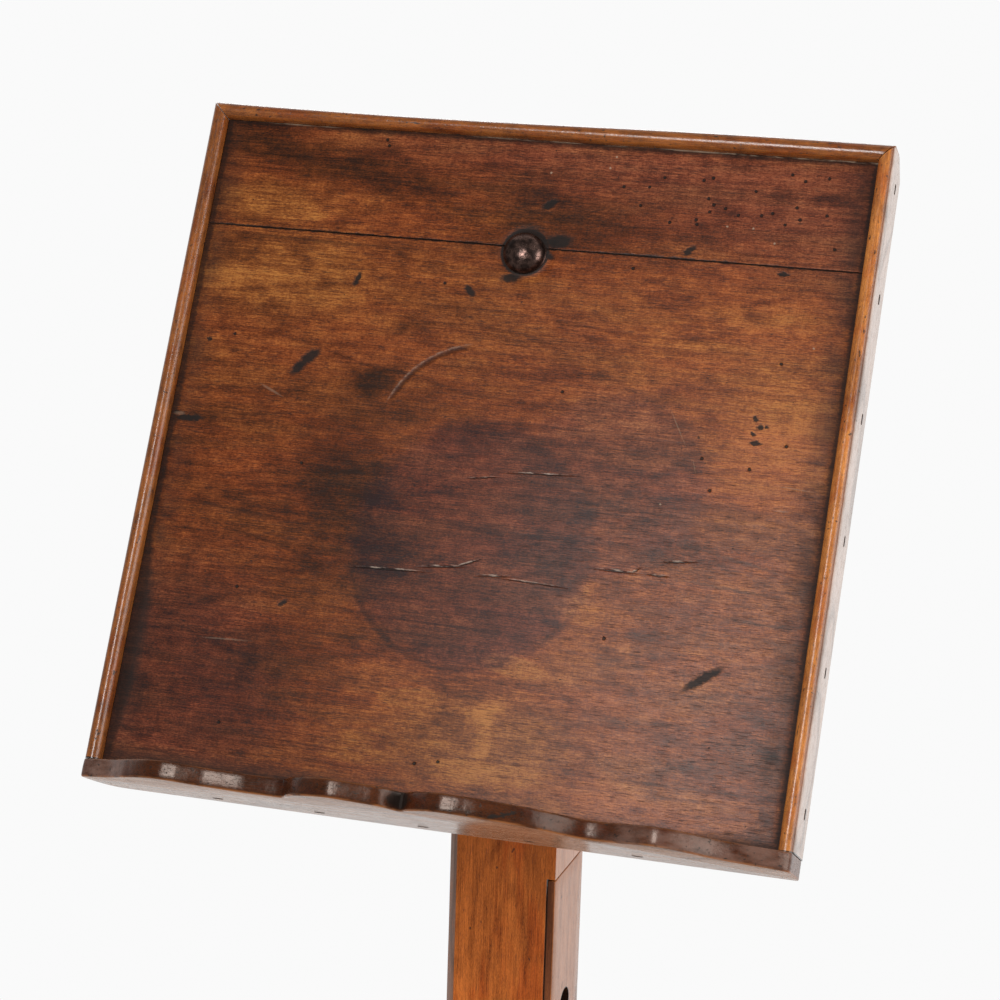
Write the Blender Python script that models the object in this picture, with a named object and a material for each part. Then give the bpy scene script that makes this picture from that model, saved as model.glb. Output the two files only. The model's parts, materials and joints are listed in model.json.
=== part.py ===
"""Reading stand with a sloping desk on a sliding square column.

The desk is two planks held by rear battens, edged with half-round strips, with a wavy ledge for the
book. One dome-headed bolt holds it to the bevelled head of the column. The column slides in a box
pedestal on a cross foot, and a turned peg through the column rests on the pedestal's rim and sets
the height. Metres, +Z up, reader on the -Y side, origin on the floor under the column's centre.
"""

import math

import bmesh
import bpy
from mathutils import Matrix, Vector

# Clearances
SEAT_GAP = 0.0003  # between two pieces that touch
SLIDE_GAP = 0.0006  # on each side of the column in its box
HOLE_GAP = 0.0004  # around a fastener in its hole
PEG_GAP = 0.0005  # around the height peg in its hole

# Desk, measured up the slope from the underside of the ledge
SLOPE = math.radians(62.5)
DESK_WIDTH = 0.4644
DESK_OFFSET = 0.002  # the desk's middle lies this far left of the bolt
DESK_HEIGHT = 0.4652
PLANK_THICK = 0.028
UPPER_PLANK_LEFT = 0.0848  # seam to the desk's top edge
UPPER_PLANK_RIGHT = 0.0842
EDGE_THICK = 0.010
BEAD_STAND = 0.008  # how far the edging stands above the planks
BATTEN_WIDTH = 0.048
BATTEN_THICK = 0.024
BATTEN_FOOT = 0.045  # lower end, from the underside of the ledge
BATTEN_HEAD = 0.026  # upper end, from the desk's top edge

# Ledge, with its wave as (share of its length, share of its reach), smooth within each run
LEDGE_THICK = 0.012
LEDGE_OVERHANG = 0.0013
LEDGE_CORNER = 0.019  # rounding of the rear left corner
LEDGE_EASE = 0.0018
LEDGE_REACH = 0.0735  # of the deepest lobe, past the planks' face
LEDGE_RUNS = (
    ((0.0, 0.08), (0.028, 0.18), (0.061, 0.30), (0.105, 0.53), (0.154, 0.66), (0.209, 0.565),
     (0.264, 0.52), (0.323, 0.53)),
    ((0.323, 0.53), (0.343, 0.735), (0.373, 0.885), (0.408, 0.965), (0.453, 0.905), (0.478, 0.845),
     (0.497, 0.68)),
    ((0.497, 0.68), (0.517, 0.83), (0.562, 1.0), (0.632, 0.91), (0.681, 0.77), (0.726, 0.545),
     (0.756, 0.51), (0.791, 0.58), (0.831, 0.675), (0.866, 0.61), (0.905, 0.41), (0.94, 0.30),
     (0.985, 0.23), (1.0, 0.165)),
)

# Iron work
BOLT_DROP = 0.0892  # bolt centre, from the desk's top edge
BOLT_RISE = 0.007  # bolt centre above the middle of the column's bevel, up the slope
BOLT_DIA = 0.012
BOLT_HEAD_DIA = 0.026
BOLT_HEAD_HIGH = 0.0105
BOLT_TAIL = 0.004
BOLT_GRIP = 0.024  # wood between the desk and the nut's seat
NUT_POCKET = 0.042
WASHER_DIA = 0.034
WASHER_THICK = 0.003
NUT_WIDE = 0.022
NUT_HIGH = 0.010
BRAD_DIA = 0.0034
BRAD_LONG = 0.032
NAIL_DIA = 0.004
NAIL_HEAD_DIA = 0.010
NAIL_HEAD_HIGH = 0.0025
NAIL_BITE = 0.020  # depth of a batten nail in the plank

# Where the nails sit
SIDE_BRADS = (0.084, 0.273, 0.453, 0.623, 0.793, 0.952)  # shares of the desk's height, by eye
TOP_BRADS = 3
TOP_BRAD_MARGIN = 0.060
LEDGE_BRADS = 5
LEDGE_BRAD_LEFT = 0.088  # first and last brad, from the desk's side edges
LEDGE_BRAD_RIGHT = 0.099
BATTEN_NAILS = 3
BATTEN_NAIL_MARGIN = 0.030

# Column
COLUMN_WIDTH = 0.077
COLUMN_DEPTH = 0.069
COLUMN_CHAMFER = 0.0068
COLUMN_IN_BOX = 0.420
SLIP_THICK = 0.006
SLIP_DROP = 0.076  # top of the side slip, below the underside of the ledge
PEG_HOLE_DROP = 0.179  # highest peg hole, below the underside of the ledge
PEG_HOLE_PITCH = 0.080
HOLES_ABOVE_PEG = 1
HOLES_BELOW_PEG = 3

# Height peg
PEG_DIA = 0.0215
PEG_TAIL = 0.006
PEG_TAIL_CHAMFER = 0.003
PEG_FLANGE_DIA = 0.032
PEG_FLANGE_THICK = 0.005
PEG_NECK_DIA = 0.019
PEG_NECK_LONG = 0.005
PEG_KNOB_DIA = 0.036

# Pedestal
BOX_WALL = 0.020
BOX_TOP = 0.670
COLLAR_THICK = 0.011
COLLAR_HIGH = 0.024
COLLAR_DROP = 0.004  # below the rim
BLOCK_HIGH = 0.040
BRACKET_THICK = 0.024
BRACKET_REACH = 0.085
BRACKET_HIGH = 0.130
BRACKET_TOE = 0.012
BRACKET_HEAD = 0.014

# Cross foot
FOOT_SPAN = 0.530
FOOT_WIDE = 0.064
FOOT_HIGH = 0.056
FOOT_TIP_HIGH = 0.032
FOOT_NOSE = 0.014
FOOT_LAND = 0.006  # flat top beyond a bracket's toe
PAD_HIGH = 0.014
PAD_LONG = 0.060
PAD_INSET = 0.004
DOWEL_DIA = 0.022
DOWEL_BITE = 0.030  # depth of the centre dowel in the block

# How finely round shapes are cut
ROUND_SIDES = 24
SMALL_SIDES = 10
ARC_STEPS = 8
RUN_STEPS = 3
SMOOTH_ANGLE = math.radians(35)

# Heights and places that follow from the sizes above
DESK_LEFT = -DESK_WIDTH / 2 - DESK_OFFSET
DESK_RIGHT = DESK_LEFT + DESK_WIDTH
EDGE_HIGH = PLANK_THICK + BEAD_STAND
BATTEN_BACK = SEAT_GAP + BATTEN_THICK
BOLT_UP = DESK_HEIGHT - BOLT_DROP
PEG_UP = BOX_TOP + SEAT_GAP + PEG_DIA / 2
DESK_UP = PEG_UP + HOLES_ABOVE_PEG * PEG_HOLE_PITCH + PEG_HOLE_DROP
DESK_FORWARD = (BOLT_UP - BOLT_RISE) * math.cos(SLOPE)
COLUMN_FOOT = BOX_TOP - COLUMN_IN_BOX
FOOT_TOP = PAD_HIGH + FOOT_HIGH
INNER_X = COLUMN_WIDTH / 2 + SLIDE_GAP
INNER_Y = COLUMN_DEPTH / 2 + SLIDE_GAP
OUTER_X = INNER_X + BOX_WALL
OUTER_Y = INNER_Y + BOX_WALL
COLLAR_OUT = SEAT_GAP + COLLAR_THICK  # from the box's face to the collar's outer face
OVERRUN = 0.002  # how far a cutter runs out of the wood

X_AXIS = Vector((1, 0, 0))
Y_AXIS = Vector((0, 1, 0))
Z_AXIS = Vector((0, 0, 1))


# Scene helpers

def clear_scene():
    for obj in list(bpy.data.objects):
        bpy.data.objects.remove(obj)


def finish(name, colour, roughness, metallic=0.0):
    """A plain Principled BSDF material."""
    material = bpy.data.materials.new(name)
    material.use_nodes = True
    shader = material.node_tree.nodes["Principled BSDF"]
    shader.inputs["Base Color"].default_value = (*colour, 1.0)
    shader.inputs["Roughness"].default_value = roughness
    shader.inputs["Metallic"].default_value = metallic
    return material


def empty(name, parent=None, matrix=Matrix()):
    obj = bpy.data.objects.new(name, None)
    bpy.context.collection.objects.link(obj)
    obj.parent = parent
    obj.matrix_basis = matrix
    return obj


def to_mesh(name, bm, material):
    bmesh.ops.recalc_face_normals(bm, faces=bm.faces)
    mesh = bpy.data.meshes.new(name)
    bm.to_mesh(mesh)
    bm.free()
    mesh.materials.append(material)
    mesh.shade_smooth()
    mesh.set_sharp_from_angle(angle=SMOOTH_ANGLE)
    return mesh


def place(name, mesh, parent, matrix=Matrix()):
    obj = bpy.data.objects.new(name, mesh)
    bpy.context.collection.objects.link(obj)
    obj.parent = parent
    obj.matrix_basis = matrix
    return obj


def piece(name, bm, material, parent):
    return place(name, to_mesh(name, bm, material), parent)


def cutter(name, bm, material, parent):
    obj = piece(name, bm, material, parent)
    obj.hide_render = True
    obj.display_type = "WIRE"
    return obj


def cut(obj, tool):
    modifier = obj.modifiers.new(tool.name, "BOOLEAN")
    modifier.operation = "DIFFERENCE"
    modifier.solver = "EXACT"
    modifier.object = tool


# Shape helpers

def axes(origin, x_axis, y_axis, z_axis):
    """Matrix that carries local axes to the three given directions at origin."""
    turn = Matrix((x_axis, y_axis, z_axis)).transposed().to_4x4()
    return Matrix.Translation(origin) @ turn


def aim(origin, direction):
    """Matrix that carries local +Z to direction at origin."""
    return Matrix.Translation(origin) @ direction.to_track_quat("Z", "Y").to_matrix().to_4x4()


def block(low, high):
    bm = bmesh.new()
    low, high = Vector(low), Vector(high)
    scale = Matrix.Diagonal((*(high - low), 1.0))
    bmesh.ops.create_cube(bm, size=1.0, matrix=Matrix.Translation((low + high) / 2) @ scale)
    return bm


def slab(outline, low, high, matrix=Matrix()):
    """An outline in local XY, extruded along local Z from low to high."""
    bm = bmesh.new()
    face = bm.faces.new([bm.verts.new((x, y, low)) for x, y in outline])
    swept = bmesh.ops.extrude_face_region(bm, geom=[face])["geom"]
    moved = [item for item in swept if isinstance(item, bmesh.types.BMVert)]
    bmesh.ops.translate(bm, verts=moved, vec=(0, 0, high - low))
    bm.transform(matrix)
    return bm


def rod(bm, start, end, diameter, sides):
    """Add a closed cylinder between two points."""
    start, end = Vector(start), Vector(end)
    bmesh.ops.create_cone(
        bm, cap_ends=True, segments=sides, radius1=diameter / 2, radius2=diameter / 2,
        depth=(end - start).length, matrix=aim((start + end) / 2, end - start),
    )


def turned(profile, sides):
    """Spin a profile of (radius, height) points about Z. It starts and ends on the axis."""
    bm = bmesh.new()
    points = [bm.verts.new((radius, 0, height)) for radius, height in profile]
    lines = [bm.edges.new(pair) for pair in zip(points, points[1:])]
    bmesh.ops.spin(
        bm, geom=points + lines, cent=(0, 0, 0), axis=Z_AXIS, angle=math.tau, steps=sides,
        use_merge=True,
    )
    bmesh.ops.remove_doubles(bm, verts=bm.verts, dist=1e-6)
    return bm


def ring(outer, inner, low, high, sides):
    """A flat washer about Z."""
    bm = bmesh.new()
    section = [(inner, low), (outer, low), (outer, high), (inner, high)]
    points = [bm.verts.new((radius, 0, height)) for radius, height in section]
    lines = [bm.edges.new(pair) for pair in zip(points, points[1:] + points[:1])]
    bmesh.ops.spin(
        bm, geom=points + lines, cent=(0, 0, 0), axis=Z_AXIS, angle=math.tau, steps=sides,
        use_merge=True,
    )
    bmesh.ops.remove_doubles(bm, verts=bm.verts, dist=1e-6)
    return bm


def arc(centre, radii, start, end, steps=ARC_STEPS):
    """Points along an ellipse's arc, angles in degrees, both ends included."""
    points = []
    for step in range(steps + 1):
        angle = math.radians(start + (end - start) * step / steps)
        points.append((centre[0] + radii[0] * math.cos(angle), centre[1] + radii[1] * math.sin(angle)))
    return points


def smooth_run(points, steps=RUN_STEPS):
    """A smooth curve through every point, by Catmull-Rom, without its last point."""
    padded = [points[0], *points, points[-1]]
    curve = []
    for before, start, end, after in zip(padded, padded[1:], padded[2:], padded[3:]):
        for step in range(steps):
            t = step / steps
            curve.append(0.5 * (
                2 * start + (end - before) * t + (2 * before - 5 * start + 4 * end - after) * t ** 2
                + (3 * start - before - 3 * end + after) * t ** 3
            ))
    return curve


def spread(low, high, count):
    return [low + (high - low) * index / (count - 1) for index in range(count)]


def moulding(section, length, mitre_start, mitre_end, matrix):
    """A strip along local Y with its outer face at x = 0, mitred where asked."""
    bm = bmesh.new()
    ends = []
    for base, mitred, inward in ((0.0, mitre_start, 1), (length, mitre_end, -1)):
        loop = []
        for x, z in section:
            slant = inward * (x + SEAT_GAP) if mitred else 0.0
            loop.append(bm.verts.new((x, base + slant, z)))
        ends.append(loop)
    bm.faces.new(ends[0])
    bm.faces.new(ends[1])
    count = len(section)
    for index in range(count):
        after = (index + 1) % count
        bm.faces.new((ends[0][index], ends[0][after], ends[1][after], ends[1][index]))
    bm.transform(matrix)
    return bm


# Desk pieces, in the desk's own frame: X across, Y up the slope, Z out of the planks

def desk_matrix():
    return Matrix.Translation((0, -DESK_FORWARD, DESK_UP)) @ Matrix.Rotation(SLOPE, 4, "X")


def seam_at(x):
    """Height of the seam between the planks, up the slope."""
    share = (x - DESK_LEFT) / DESK_WIDTH
    return DESK_HEIGHT - UPPER_PLANK_LEFT - (UPPER_PLANK_RIGHT - UPPER_PLANK_LEFT) * share


def make_planks(wood, desk):
    left = DESK_LEFT + EDGE_THICK + SEAT_GAP
    right = DESK_RIGHT - EDGE_THICK - SEAT_GAP
    foot = LEDGE_THICK + SEAT_GAP
    head = DESK_HEIGHT - EDGE_THICK - SEAT_GAP
    half_gap = SEAT_GAP / 2
    left_seam = seam_at(left)
    right_seam = seam_at(right)
    lower = [(left, foot), (right, foot), (right, right_seam - half_gap), (left, left_seam - half_gap)]
    upper = [(left, left_seam + half_gap), (right, right_seam + half_gap), (right, head), (left, head)]
    return [
        piece("plank_lower", slab(lower, 0, PLANK_THICK), wood, desk),
        piece("plank_upper", slab(upper, 0, PLANK_THICK), wood, desk),
    ]


def make_edging(wood, desk):
    """Half-round strips on the left, right and top edges, mitred at the top corners."""
    round_off = EDGE_THICK / 2
    crown = arc((round_off, EDGE_HIGH - round_off), (round_off, round_off), 0, 180)
    section = [(0, 0), (EDGE_THICK, 0), *crown]
    foot = LEDGE_THICK + SEAT_GAP
    rise = DESK_HEIGHT - foot
    left = axes((DESK_LEFT, foot, 0), X_AXIS, Y_AXIS, Z_AXIS)
    right = axes((DESK_RIGHT, foot, 0), -X_AXIS, Y_AXIS, Z_AXIS)
    top = axes((DESK_LEFT, DESK_HEIGHT, 0), -Y_AXIS, X_AXIS, Z_AXIS)
    return [
        piece("edge_strip_left", moulding(section, rise, False, True, left), wood, desk),
        piece("edge_strip_right", moulding(section, rise, False, True, right), wood, desk),
        piece("edge_strip_top", moulding(section, DESK_WIDTH, True, True, top), wood, desk),
    ]


def make_ledge(wood, desk):
    """The wavy book ledge under the planks and edging."""
    left = DESK_LEFT - LEDGE_OVERHANG
    length = DESK_WIDTH + LEDGE_OVERHANG
    front = []
    for run in LEDGE_RUNS:
        points = [Vector((left + along * length, PLANK_THICK + out * LEDGE_REACH)) for along, out in run]
        front += smooth_run(points)
    end_depth = front[0].y
    corner = arc((left + LEDGE_CORNER, end_depth), (LEDGE_CORNER, end_depth), 180, 270)
    right_end = [points[-1], (left + length, 0)]
    outline = [*front, *right_end, *reversed(corner[1:])]
    shape = slab(outline, -LEDGE_THICK, 0, axes((0, 0, 0), X_AXIS, Z_AXIS, -Y_AXIS))
    ledge = piece("book_ledge", shape, wood, desk)
    ease = ledge.modifiers.new("eased edges", "BEVEL")
    ease.width = LEDGE_EASE
    ease.segments = 2
    ease.limit_method = "ANGLE"
    ease.angle_limit = math.radians(60)
    return ledge


def batten_centre():
    return COLUMN_WIDTH / 2 + SEAT_GAP + BATTEN_WIDTH / 2


def make_battens(wood, desk):
    """Two battens across the seam, close against the column's cheeks."""
    made = []
    for name, side in (("batten_left", -1), ("batten_right", 1)):
        middle = side * batten_centre()
        low = (middle - BATTEN_WIDTH / 2, BATTEN_FOOT, -BATTEN_BACK)
        high = (middle + BATTEN_WIDTH / 2, DESK_HEIGHT - BATTEN_HEAD, -SEAT_GAP)
        made.append(piece(name, block(low, high), wood, desk))
    return made


def brad_places():
    """Name, head point and direction of each flush brad in the edging and ledge."""
    depth = PLANK_THICK / 2
    places = []
    for number, share in enumerate(SIDE_BRADS, 1):
        up = share * DESK_HEIGHT
        places.append((f"edge_brad_left_{number}", Vector((DESK_LEFT, up, depth)), X_AXIS))
        places.append((f"edge_brad_right_{number}", Vector((DESK_RIGHT, up, depth)), -X_AXIS))
    left, right = DESK_LEFT + TOP_BRAD_MARGIN, DESK_RIGHT - TOP_BRAD_MARGIN
    for number, across in enumerate(spread(left, right, TOP_BRADS), 1):
        places.append((f"edge_brad_top_{number}", Vector((across, DESK_HEIGHT, depth)), -Y_AXIS))
    left, right = DESK_LEFT + LEDGE_BRAD_LEFT, DESK_RIGHT - LEDGE_BRAD_RIGHT
    for number, across in enumerate(spread(left, right, LEDGE_BRADS), 1):
        places.append((f"ledge_brad_{number}", Vector((across, 0, depth)), Y_AXIS))
    return places


def nail_places():
    """Name, seat point and direction of each rose-head nail in the battens."""
    low = BATTEN_FOOT + BATTEN_NAIL_MARGIN
    high = DESK_HEIGHT - BATTEN_HEAD - BATTEN_NAIL_MARGIN
    places = []
    for side_name, side in (("left", -1), ("right", 1)):
        for number, up in enumerate(spread(low, high, BATTEN_NAILS), 1):
            seat = Vector((side * batten_centre(), up, -BATTEN_BACK))
            places.append((f"batten_nail_{side_name}_{number}", seat, Z_AXIS))
    return places


def make_nails(iron, desk):
    """All brads and nails, and the one tool that drills their holes and the bolt's."""
    drill = bmesh.new()
    brad = bmesh.new()
    rod(brad, (0, 0, SEAT_GAP), (0, 0, BRAD_LONG), BRAD_DIA, SMALL_SIDES)
    brad_mesh = to_mesh("brad", brad, iron)
    for name, head, direction in brad_places():
        place(name, brad_mesh, desk, aim(head, direction))
        start = head - direction * OVERRUN
        end = head + direction * (BRAD_LONG + SEAT_GAP)
        rod(drill, start, end, BRAD_DIA + 2 * HOLE_GAP, SMALL_SIDES)
    long = BATTEN_BACK + NAIL_BITE
    radius = NAIL_DIA / 2
    crown = -SEAT_GAP - NAIL_HEAD_HIGH
    nail = turned(
        [(0, crown), (NAIL_HEAD_DIA / 2, -SEAT_GAP - NAIL_HEAD_HIGH / 3), (NAIL_HEAD_DIA / 2, -SEAT_GAP),
         (radius, -SEAT_GAP), (radius, long - NAIL_DIA), (0, long)], SMALL_SIDES,
    )
    nail_mesh = to_mesh("rose_head_nail", nail, iron)
    for name, seat, direction in nail_places():
        place(name, nail_mesh, desk, aim(seat, direction))
        start = seat - direction * OVERRUN
        rod(drill, start, seat + direction * (long + SEAT_GAP), NAIL_DIA + 2 * HOLE_GAP, SMALL_SIDES)
    rod(
        drill, (0, BOLT_UP, PLANK_THICK + OVERRUN), (0, BOLT_UP, -BOLT_GRIP - OVERRUN),
        BOLT_DIA + 2 * HOLE_GAP, ROUND_SIDES,
    )
    return cutter("desk_drill", drill, iron, desk)


def make_bolt(iron, desk):
    """The dome-headed bolt, its washer and its square nut, on one axis through the desk."""
    seat = PLANK_THICK + SEAT_GAP
    washer_top = -BOLT_GRIP - SEAT_GAP
    nut_top = washer_top - WASHER_THICK - SEAT_GAP
    tail = nut_top - NUT_HIGH - BOLT_TAIL
    shank = BOLT_DIA / 2
    head = BOLT_HEAD_DIA / 2
    dome = arc((0, seat), (head, BOLT_HEAD_HIGH), 0, 90)[:-1]
    profile = [(0, tail), (shank, tail), (shank, seat), *dome, (0, seat + BOLT_HEAD_HIGH)]
    up_slope = Matrix.Translation((0, BOLT_UP, 0))
    bolt = to_mesh("desk_bolt", turned(profile, ROUND_SIDES), iron)
    place("desk_bolt", bolt, desk, up_slope)
    bore = shank + HOLE_GAP
    washer = ring(WASHER_DIA / 2, bore, washer_top - WASHER_THICK, washer_top, ROUND_SIDES)
    place("bolt_washer", to_mesh("bolt_washer", washer, iron), desk, up_slope)
    half = NUT_WIDE / 2
    nut_shape = block((-half, BOLT_UP - half, nut_top - NUT_HIGH), (half, BOLT_UP + half, nut_top))
    nut = piece("bolt_nut", nut_shape, iron, desk)
    tap = bmesh.new()
    tap_low = nut_top - NUT_HIGH - OVERRUN
    rod(tap, (0, BOLT_UP, nut_top + OVERRUN), (0, BOLT_UP, tap_low), 2 * bore, ROUND_SIDES)
    cut(nut, cutter("nut_tap", tap, iron, desk))


# Column, its slip and the height peg

def bevel_height(y):
    """Height of the column's bevelled head, just clear of the desk's rear face."""
    return DESK_UP + (y + DESK_FORWARD) * math.tan(SLOPE) - SEAT_GAP / math.cos(SLOPE)


def peg_hole_heights():
    return [PEG_UP + index * PEG_HOLE_PITCH for index in range(-HOLES_BELOW_PEG, HOLES_ABOVE_PEG + 1)]


def make_column(wood, slip_wood, column, desk, desk_drill):
    side = COLUMN_WIDTH / 2
    back = COLUMN_DEPTH / 2
    outline = [
        (-back, COLUMN_FOOT), (back, COLUMN_FOOT), (back, bevel_height(back)), (-back, bevel_height(-back)),
    ]
    shape = slab(outline, -side, side, axes((0, 0, 0), Y_AXIS, Z_AXIS, X_AXIS))
    left_corners = []
    for edge in shape.edges:
        start, end = (vert.co for vert in edge.verts)
        if start.x < 0 and end.x < 0 and abs(start.y - end.y) < SEAT_GAP:
            left_corners.append(edge)
    bmesh.ops.bevel(shape, geom=left_corners, offset=COLUMN_CHAMFER, segments=1, affect="EDGES")
    post = piece("column_post", shape, wood, column)

    slip_top = DESK_UP - SLIP_DROP
    rebate_low = (side - SLIP_THICK, -back - OVERRUN, COLUMN_FOOT - OVERRUN)
    rebate = block(rebate_low, (side + OVERRUN, back + OVERRUN, slip_top))
    cut(post, cutter("slip_rebate", rebate, wood, column))
    slip_low = (side - SLIP_THICK + SEAT_GAP, -back, COLUMN_FOOT)
    slip = piece("column_slip", block(slip_low, (side, back, slip_top - SEAT_GAP)), slip_wood, column)

    boring = bmesh.new()
    for height in peg_hole_heights():
        reach = side + OVERRUN
        rod(boring, (-reach, 0, height), (reach, 0, height), PEG_DIA + 2 * PEG_GAP, ROUND_SIDES)
    bit = cutter("peg_boring", boring, wood, column)
    cut(post, bit)
    cut(slip, bit)

    half = NUT_POCKET / 2
    outside = COLUMN_DEPTH + NUT_POCKET
    pocket = block((-half, BOLT_UP - half, -outside), (half, BOLT_UP + half, -BOLT_GRIP))
    cut(post, cutter("nut_pocket", pocket, wood, desk))
    cut(post, desk_drill)


def make_peg(wood, column):
    """The turned peg, lying along X over the pedestal's rim, with its knob on the right."""
    shank = PEG_DIA / 2
    tail = -OUTER_X - COLLAR_OUT - PEG_TAIL
    flange = OUTER_X + COLLAR_OUT + SEAT_GAP
    neck = flange + PEG_FLANGE_THICK
    knob = PEG_KNOB_DIA / 2
    start = math.degrees(math.asin(PEG_NECK_DIA / PEG_KNOB_DIA)) - 90
    knob_foot = neck + PEG_NECK_LONG
    centre = knob_foot - knob * math.sin(math.radians(start))
    ball = arc((0, centre), (knob, knob), start, 90)[:-1]
    profile = [
        (0, tail), (shank - PEG_TAIL_CHAMFER, tail), (shank, tail + PEG_TAIL_CHAMFER), (shank, flange),
        (PEG_FLANGE_DIA / 2, flange), (PEG_FLANGE_DIA / 2, neck), (PEG_NECK_DIA / 2, neck),
        *ball, (0, centre + knob),
    ]
    mesh = to_mesh("height_peg", turned(profile, ROUND_SIDES), wood)
    place("height_peg", mesh, column, aim(Vector((0, 0, PEG_UP)), X_AXIS))


# Pedestal and cross foot

def make_box(wood, pedestal):
    """Four boards round the column's way, with a block closing the foot."""
    foot = FOOT_TOP + SEAT_GAP
    inset = INNER_Y - SEAT_GAP
    boards = (
        ("box_board_front", (-OUTER_X, -OUTER_Y), (OUTER_X, -INNER_Y)),
        ("box_board_back", (-OUTER_X, INNER_Y), (OUTER_X, OUTER_Y)),
        ("box_board_left", (-OUTER_X, -inset), (-INNER_X, inset)),
        ("box_board_right", (INNER_X, -inset), (OUTER_X, inset)),
    )
    for name, low, high in boards:
        piece(name, block((*low, foot), (*high, BOX_TOP)), wood, pedestal)
    reach_x = INNER_X - SEAT_GAP
    core = block((-reach_x, -inset, foot), (reach_x, inset, foot + BLOCK_HIGH))
    return piece("box_block", core, wood, pedestal)


def sides_of_box():
    """Name, outward direction, distance to the face and half width of each side."""
    return (
        ("front", -Y_AXIS, OUTER_Y, OUTER_X),
        ("back", Y_AXIS, OUTER_Y, OUTER_X),
        ("left", -X_AXIS, OUTER_X, OUTER_Y),
        ("right", X_AXIS, OUTER_X, OUTER_Y),
    )


def make_collar(wood, pedestal):
    """A half-round moulding round the rim, mitred at the corners."""
    nose = arc((COLLAR_THICK, COLLAR_HIGH / 2), (COLLAR_THICK, COLLAR_HIGH / 2), 270, 90)
    foot = BOX_TOP - COLLAR_DROP - COLLAR_HIGH
    for name, out, face, half in sides_of_box():
        along = Z_AXIS.cross(out)
        run = half + COLLAR_OUT
        corner = out * (face + COLLAR_OUT) - along * run + Z_AXIS * foot
        shape = moulding(nose, 2 * run, True, True, axes(corner, -out, along, Z_AXIS))
        piece(f"collar_{name}", shape, wood, pedestal)


def make_brackets(wood, pedestal):
    """Four hollow-curved brackets that brace the box on the arms of the foot."""
    hollow = arc(
        (BRACKET_REACH, BRACKET_HIGH), (BRACKET_REACH - BRACKET_HEAD, BRACKET_HIGH - BRACKET_TOE), 270, 180,
    )
    outline = [(0, 0), (BRACKET_REACH, 0), *hollow, (0, BRACKET_HIGH)]
    mesh = to_mesh("bracket", slab(outline, -BRACKET_THICK / 2, BRACKET_THICK / 2), wood)
    for name, out, face, _ in sides_of_box():
        seat = out * (face + SEAT_GAP) + Z_AXIS * (FOOT_TOP + SEAT_GAP)
        place(f"bracket_{name}", mesh, pedestal, axes(seat, out, Z_AXIS, out.cross(Z_AXIS)))


def foot_outline(flat, lap_from_top):
    """Side view of one beam: flat in the middle, sweeping down to round noses, with its lap."""
    reach = FOOT_SPAN / 2
    tip = PAD_HIGH + FOOT_TIP_HIGH
    nose = arc((reach - FOOT_NOSE, tip - FOOT_NOSE), (FOOT_NOSE, FOOT_NOSE), 0, 90)
    sweep = []
    for step in range(1, ARC_STEPS + 1):
        t = step / ARC_STEPS
        ease = t * t * (3 - 2 * t)
        along = reach - FOOT_NOSE + (flat - reach + FOOT_NOSE) * t
        sweep.append((along, tip + (FOOT_TOP - tip) * ease))
    half = FOOT_WIDE / 2 + SEAT_GAP
    middle = PAD_HIGH + FOOT_HIGH / 2
    right = [(reach, PAD_HIGH), *nose, *sweep]
    if lap_from_top:
        right += [(half, FOOT_TOP), (half, middle - SEAT_GAP / 2)]
    else:
        right = [(half, middle + SEAT_GAP / 2), (half, PAD_HIGH), *right]
    left = [(-along, height) for along, height in reversed(right)]
    return right + left


def make_foot(wood, pedestal, block_piece):
    """Two beams halved together, a pad under each end and a dowel up into the block."""
    half = FOOT_WIDE / 2
    land = BRACKET_REACH + SEAT_GAP + FOOT_LAND
    lower = foot_outline(OUTER_Y + land, True)
    upper = foot_outline(OUTER_X + land, False)
    front_back = slab(lower, -half, half, axes((0, 0, 0), Y_AXIS, Z_AXIS, X_AXIS))
    left_right = slab(upper, -half, half, axes((0, 0, 0), X_AXIS, Z_AXIS, -Y_AXIS))
    beams = [
        piece("foot_beam_front_back", front_back, wood, pedestal),
        piece("foot_beam_left_right", left_right, wood, pedestal),
    ]
    dowel_top = FOOT_TOP + DOWEL_BITE
    dowel = bmesh.new()
    rod(dowel, (0, 0, PAD_HIGH), (0, 0, dowel_top - SEAT_GAP), DOWEL_DIA, ROUND_SIDES)
    piece("foot_dowel", dowel, wood, pedestal)
    boring = bmesh.new()
    rod(boring, (0, 0, PAD_HIGH - OVERRUN), (0, 0, dowel_top), DOWEL_DIA + 2 * HOLE_GAP, ROUND_SIDES)
    bit = cutter("dowel_boring", boring, wood, pedestal)
    for target in (*beams, block_piece):
        cut(target, bit)

    pad_half = half - PAD_INSET
    pad = block((-PAD_LONG / 2, -pad_half, 0), (PAD_LONG / 2, pad_half, PAD_HIGH - SEAT_GAP))
    mesh = to_mesh("pad", pad, wood)
    out_to = FOOT_SPAN / 2 - PAD_INSET - PAD_LONG / 2
    for name, out, _, _ in sides_of_box():
        place(f"foot_pad_{name}", mesh, pedestal, axes(out * out_to, out, Z_AXIS.cross(out), Z_AXIS))


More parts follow.
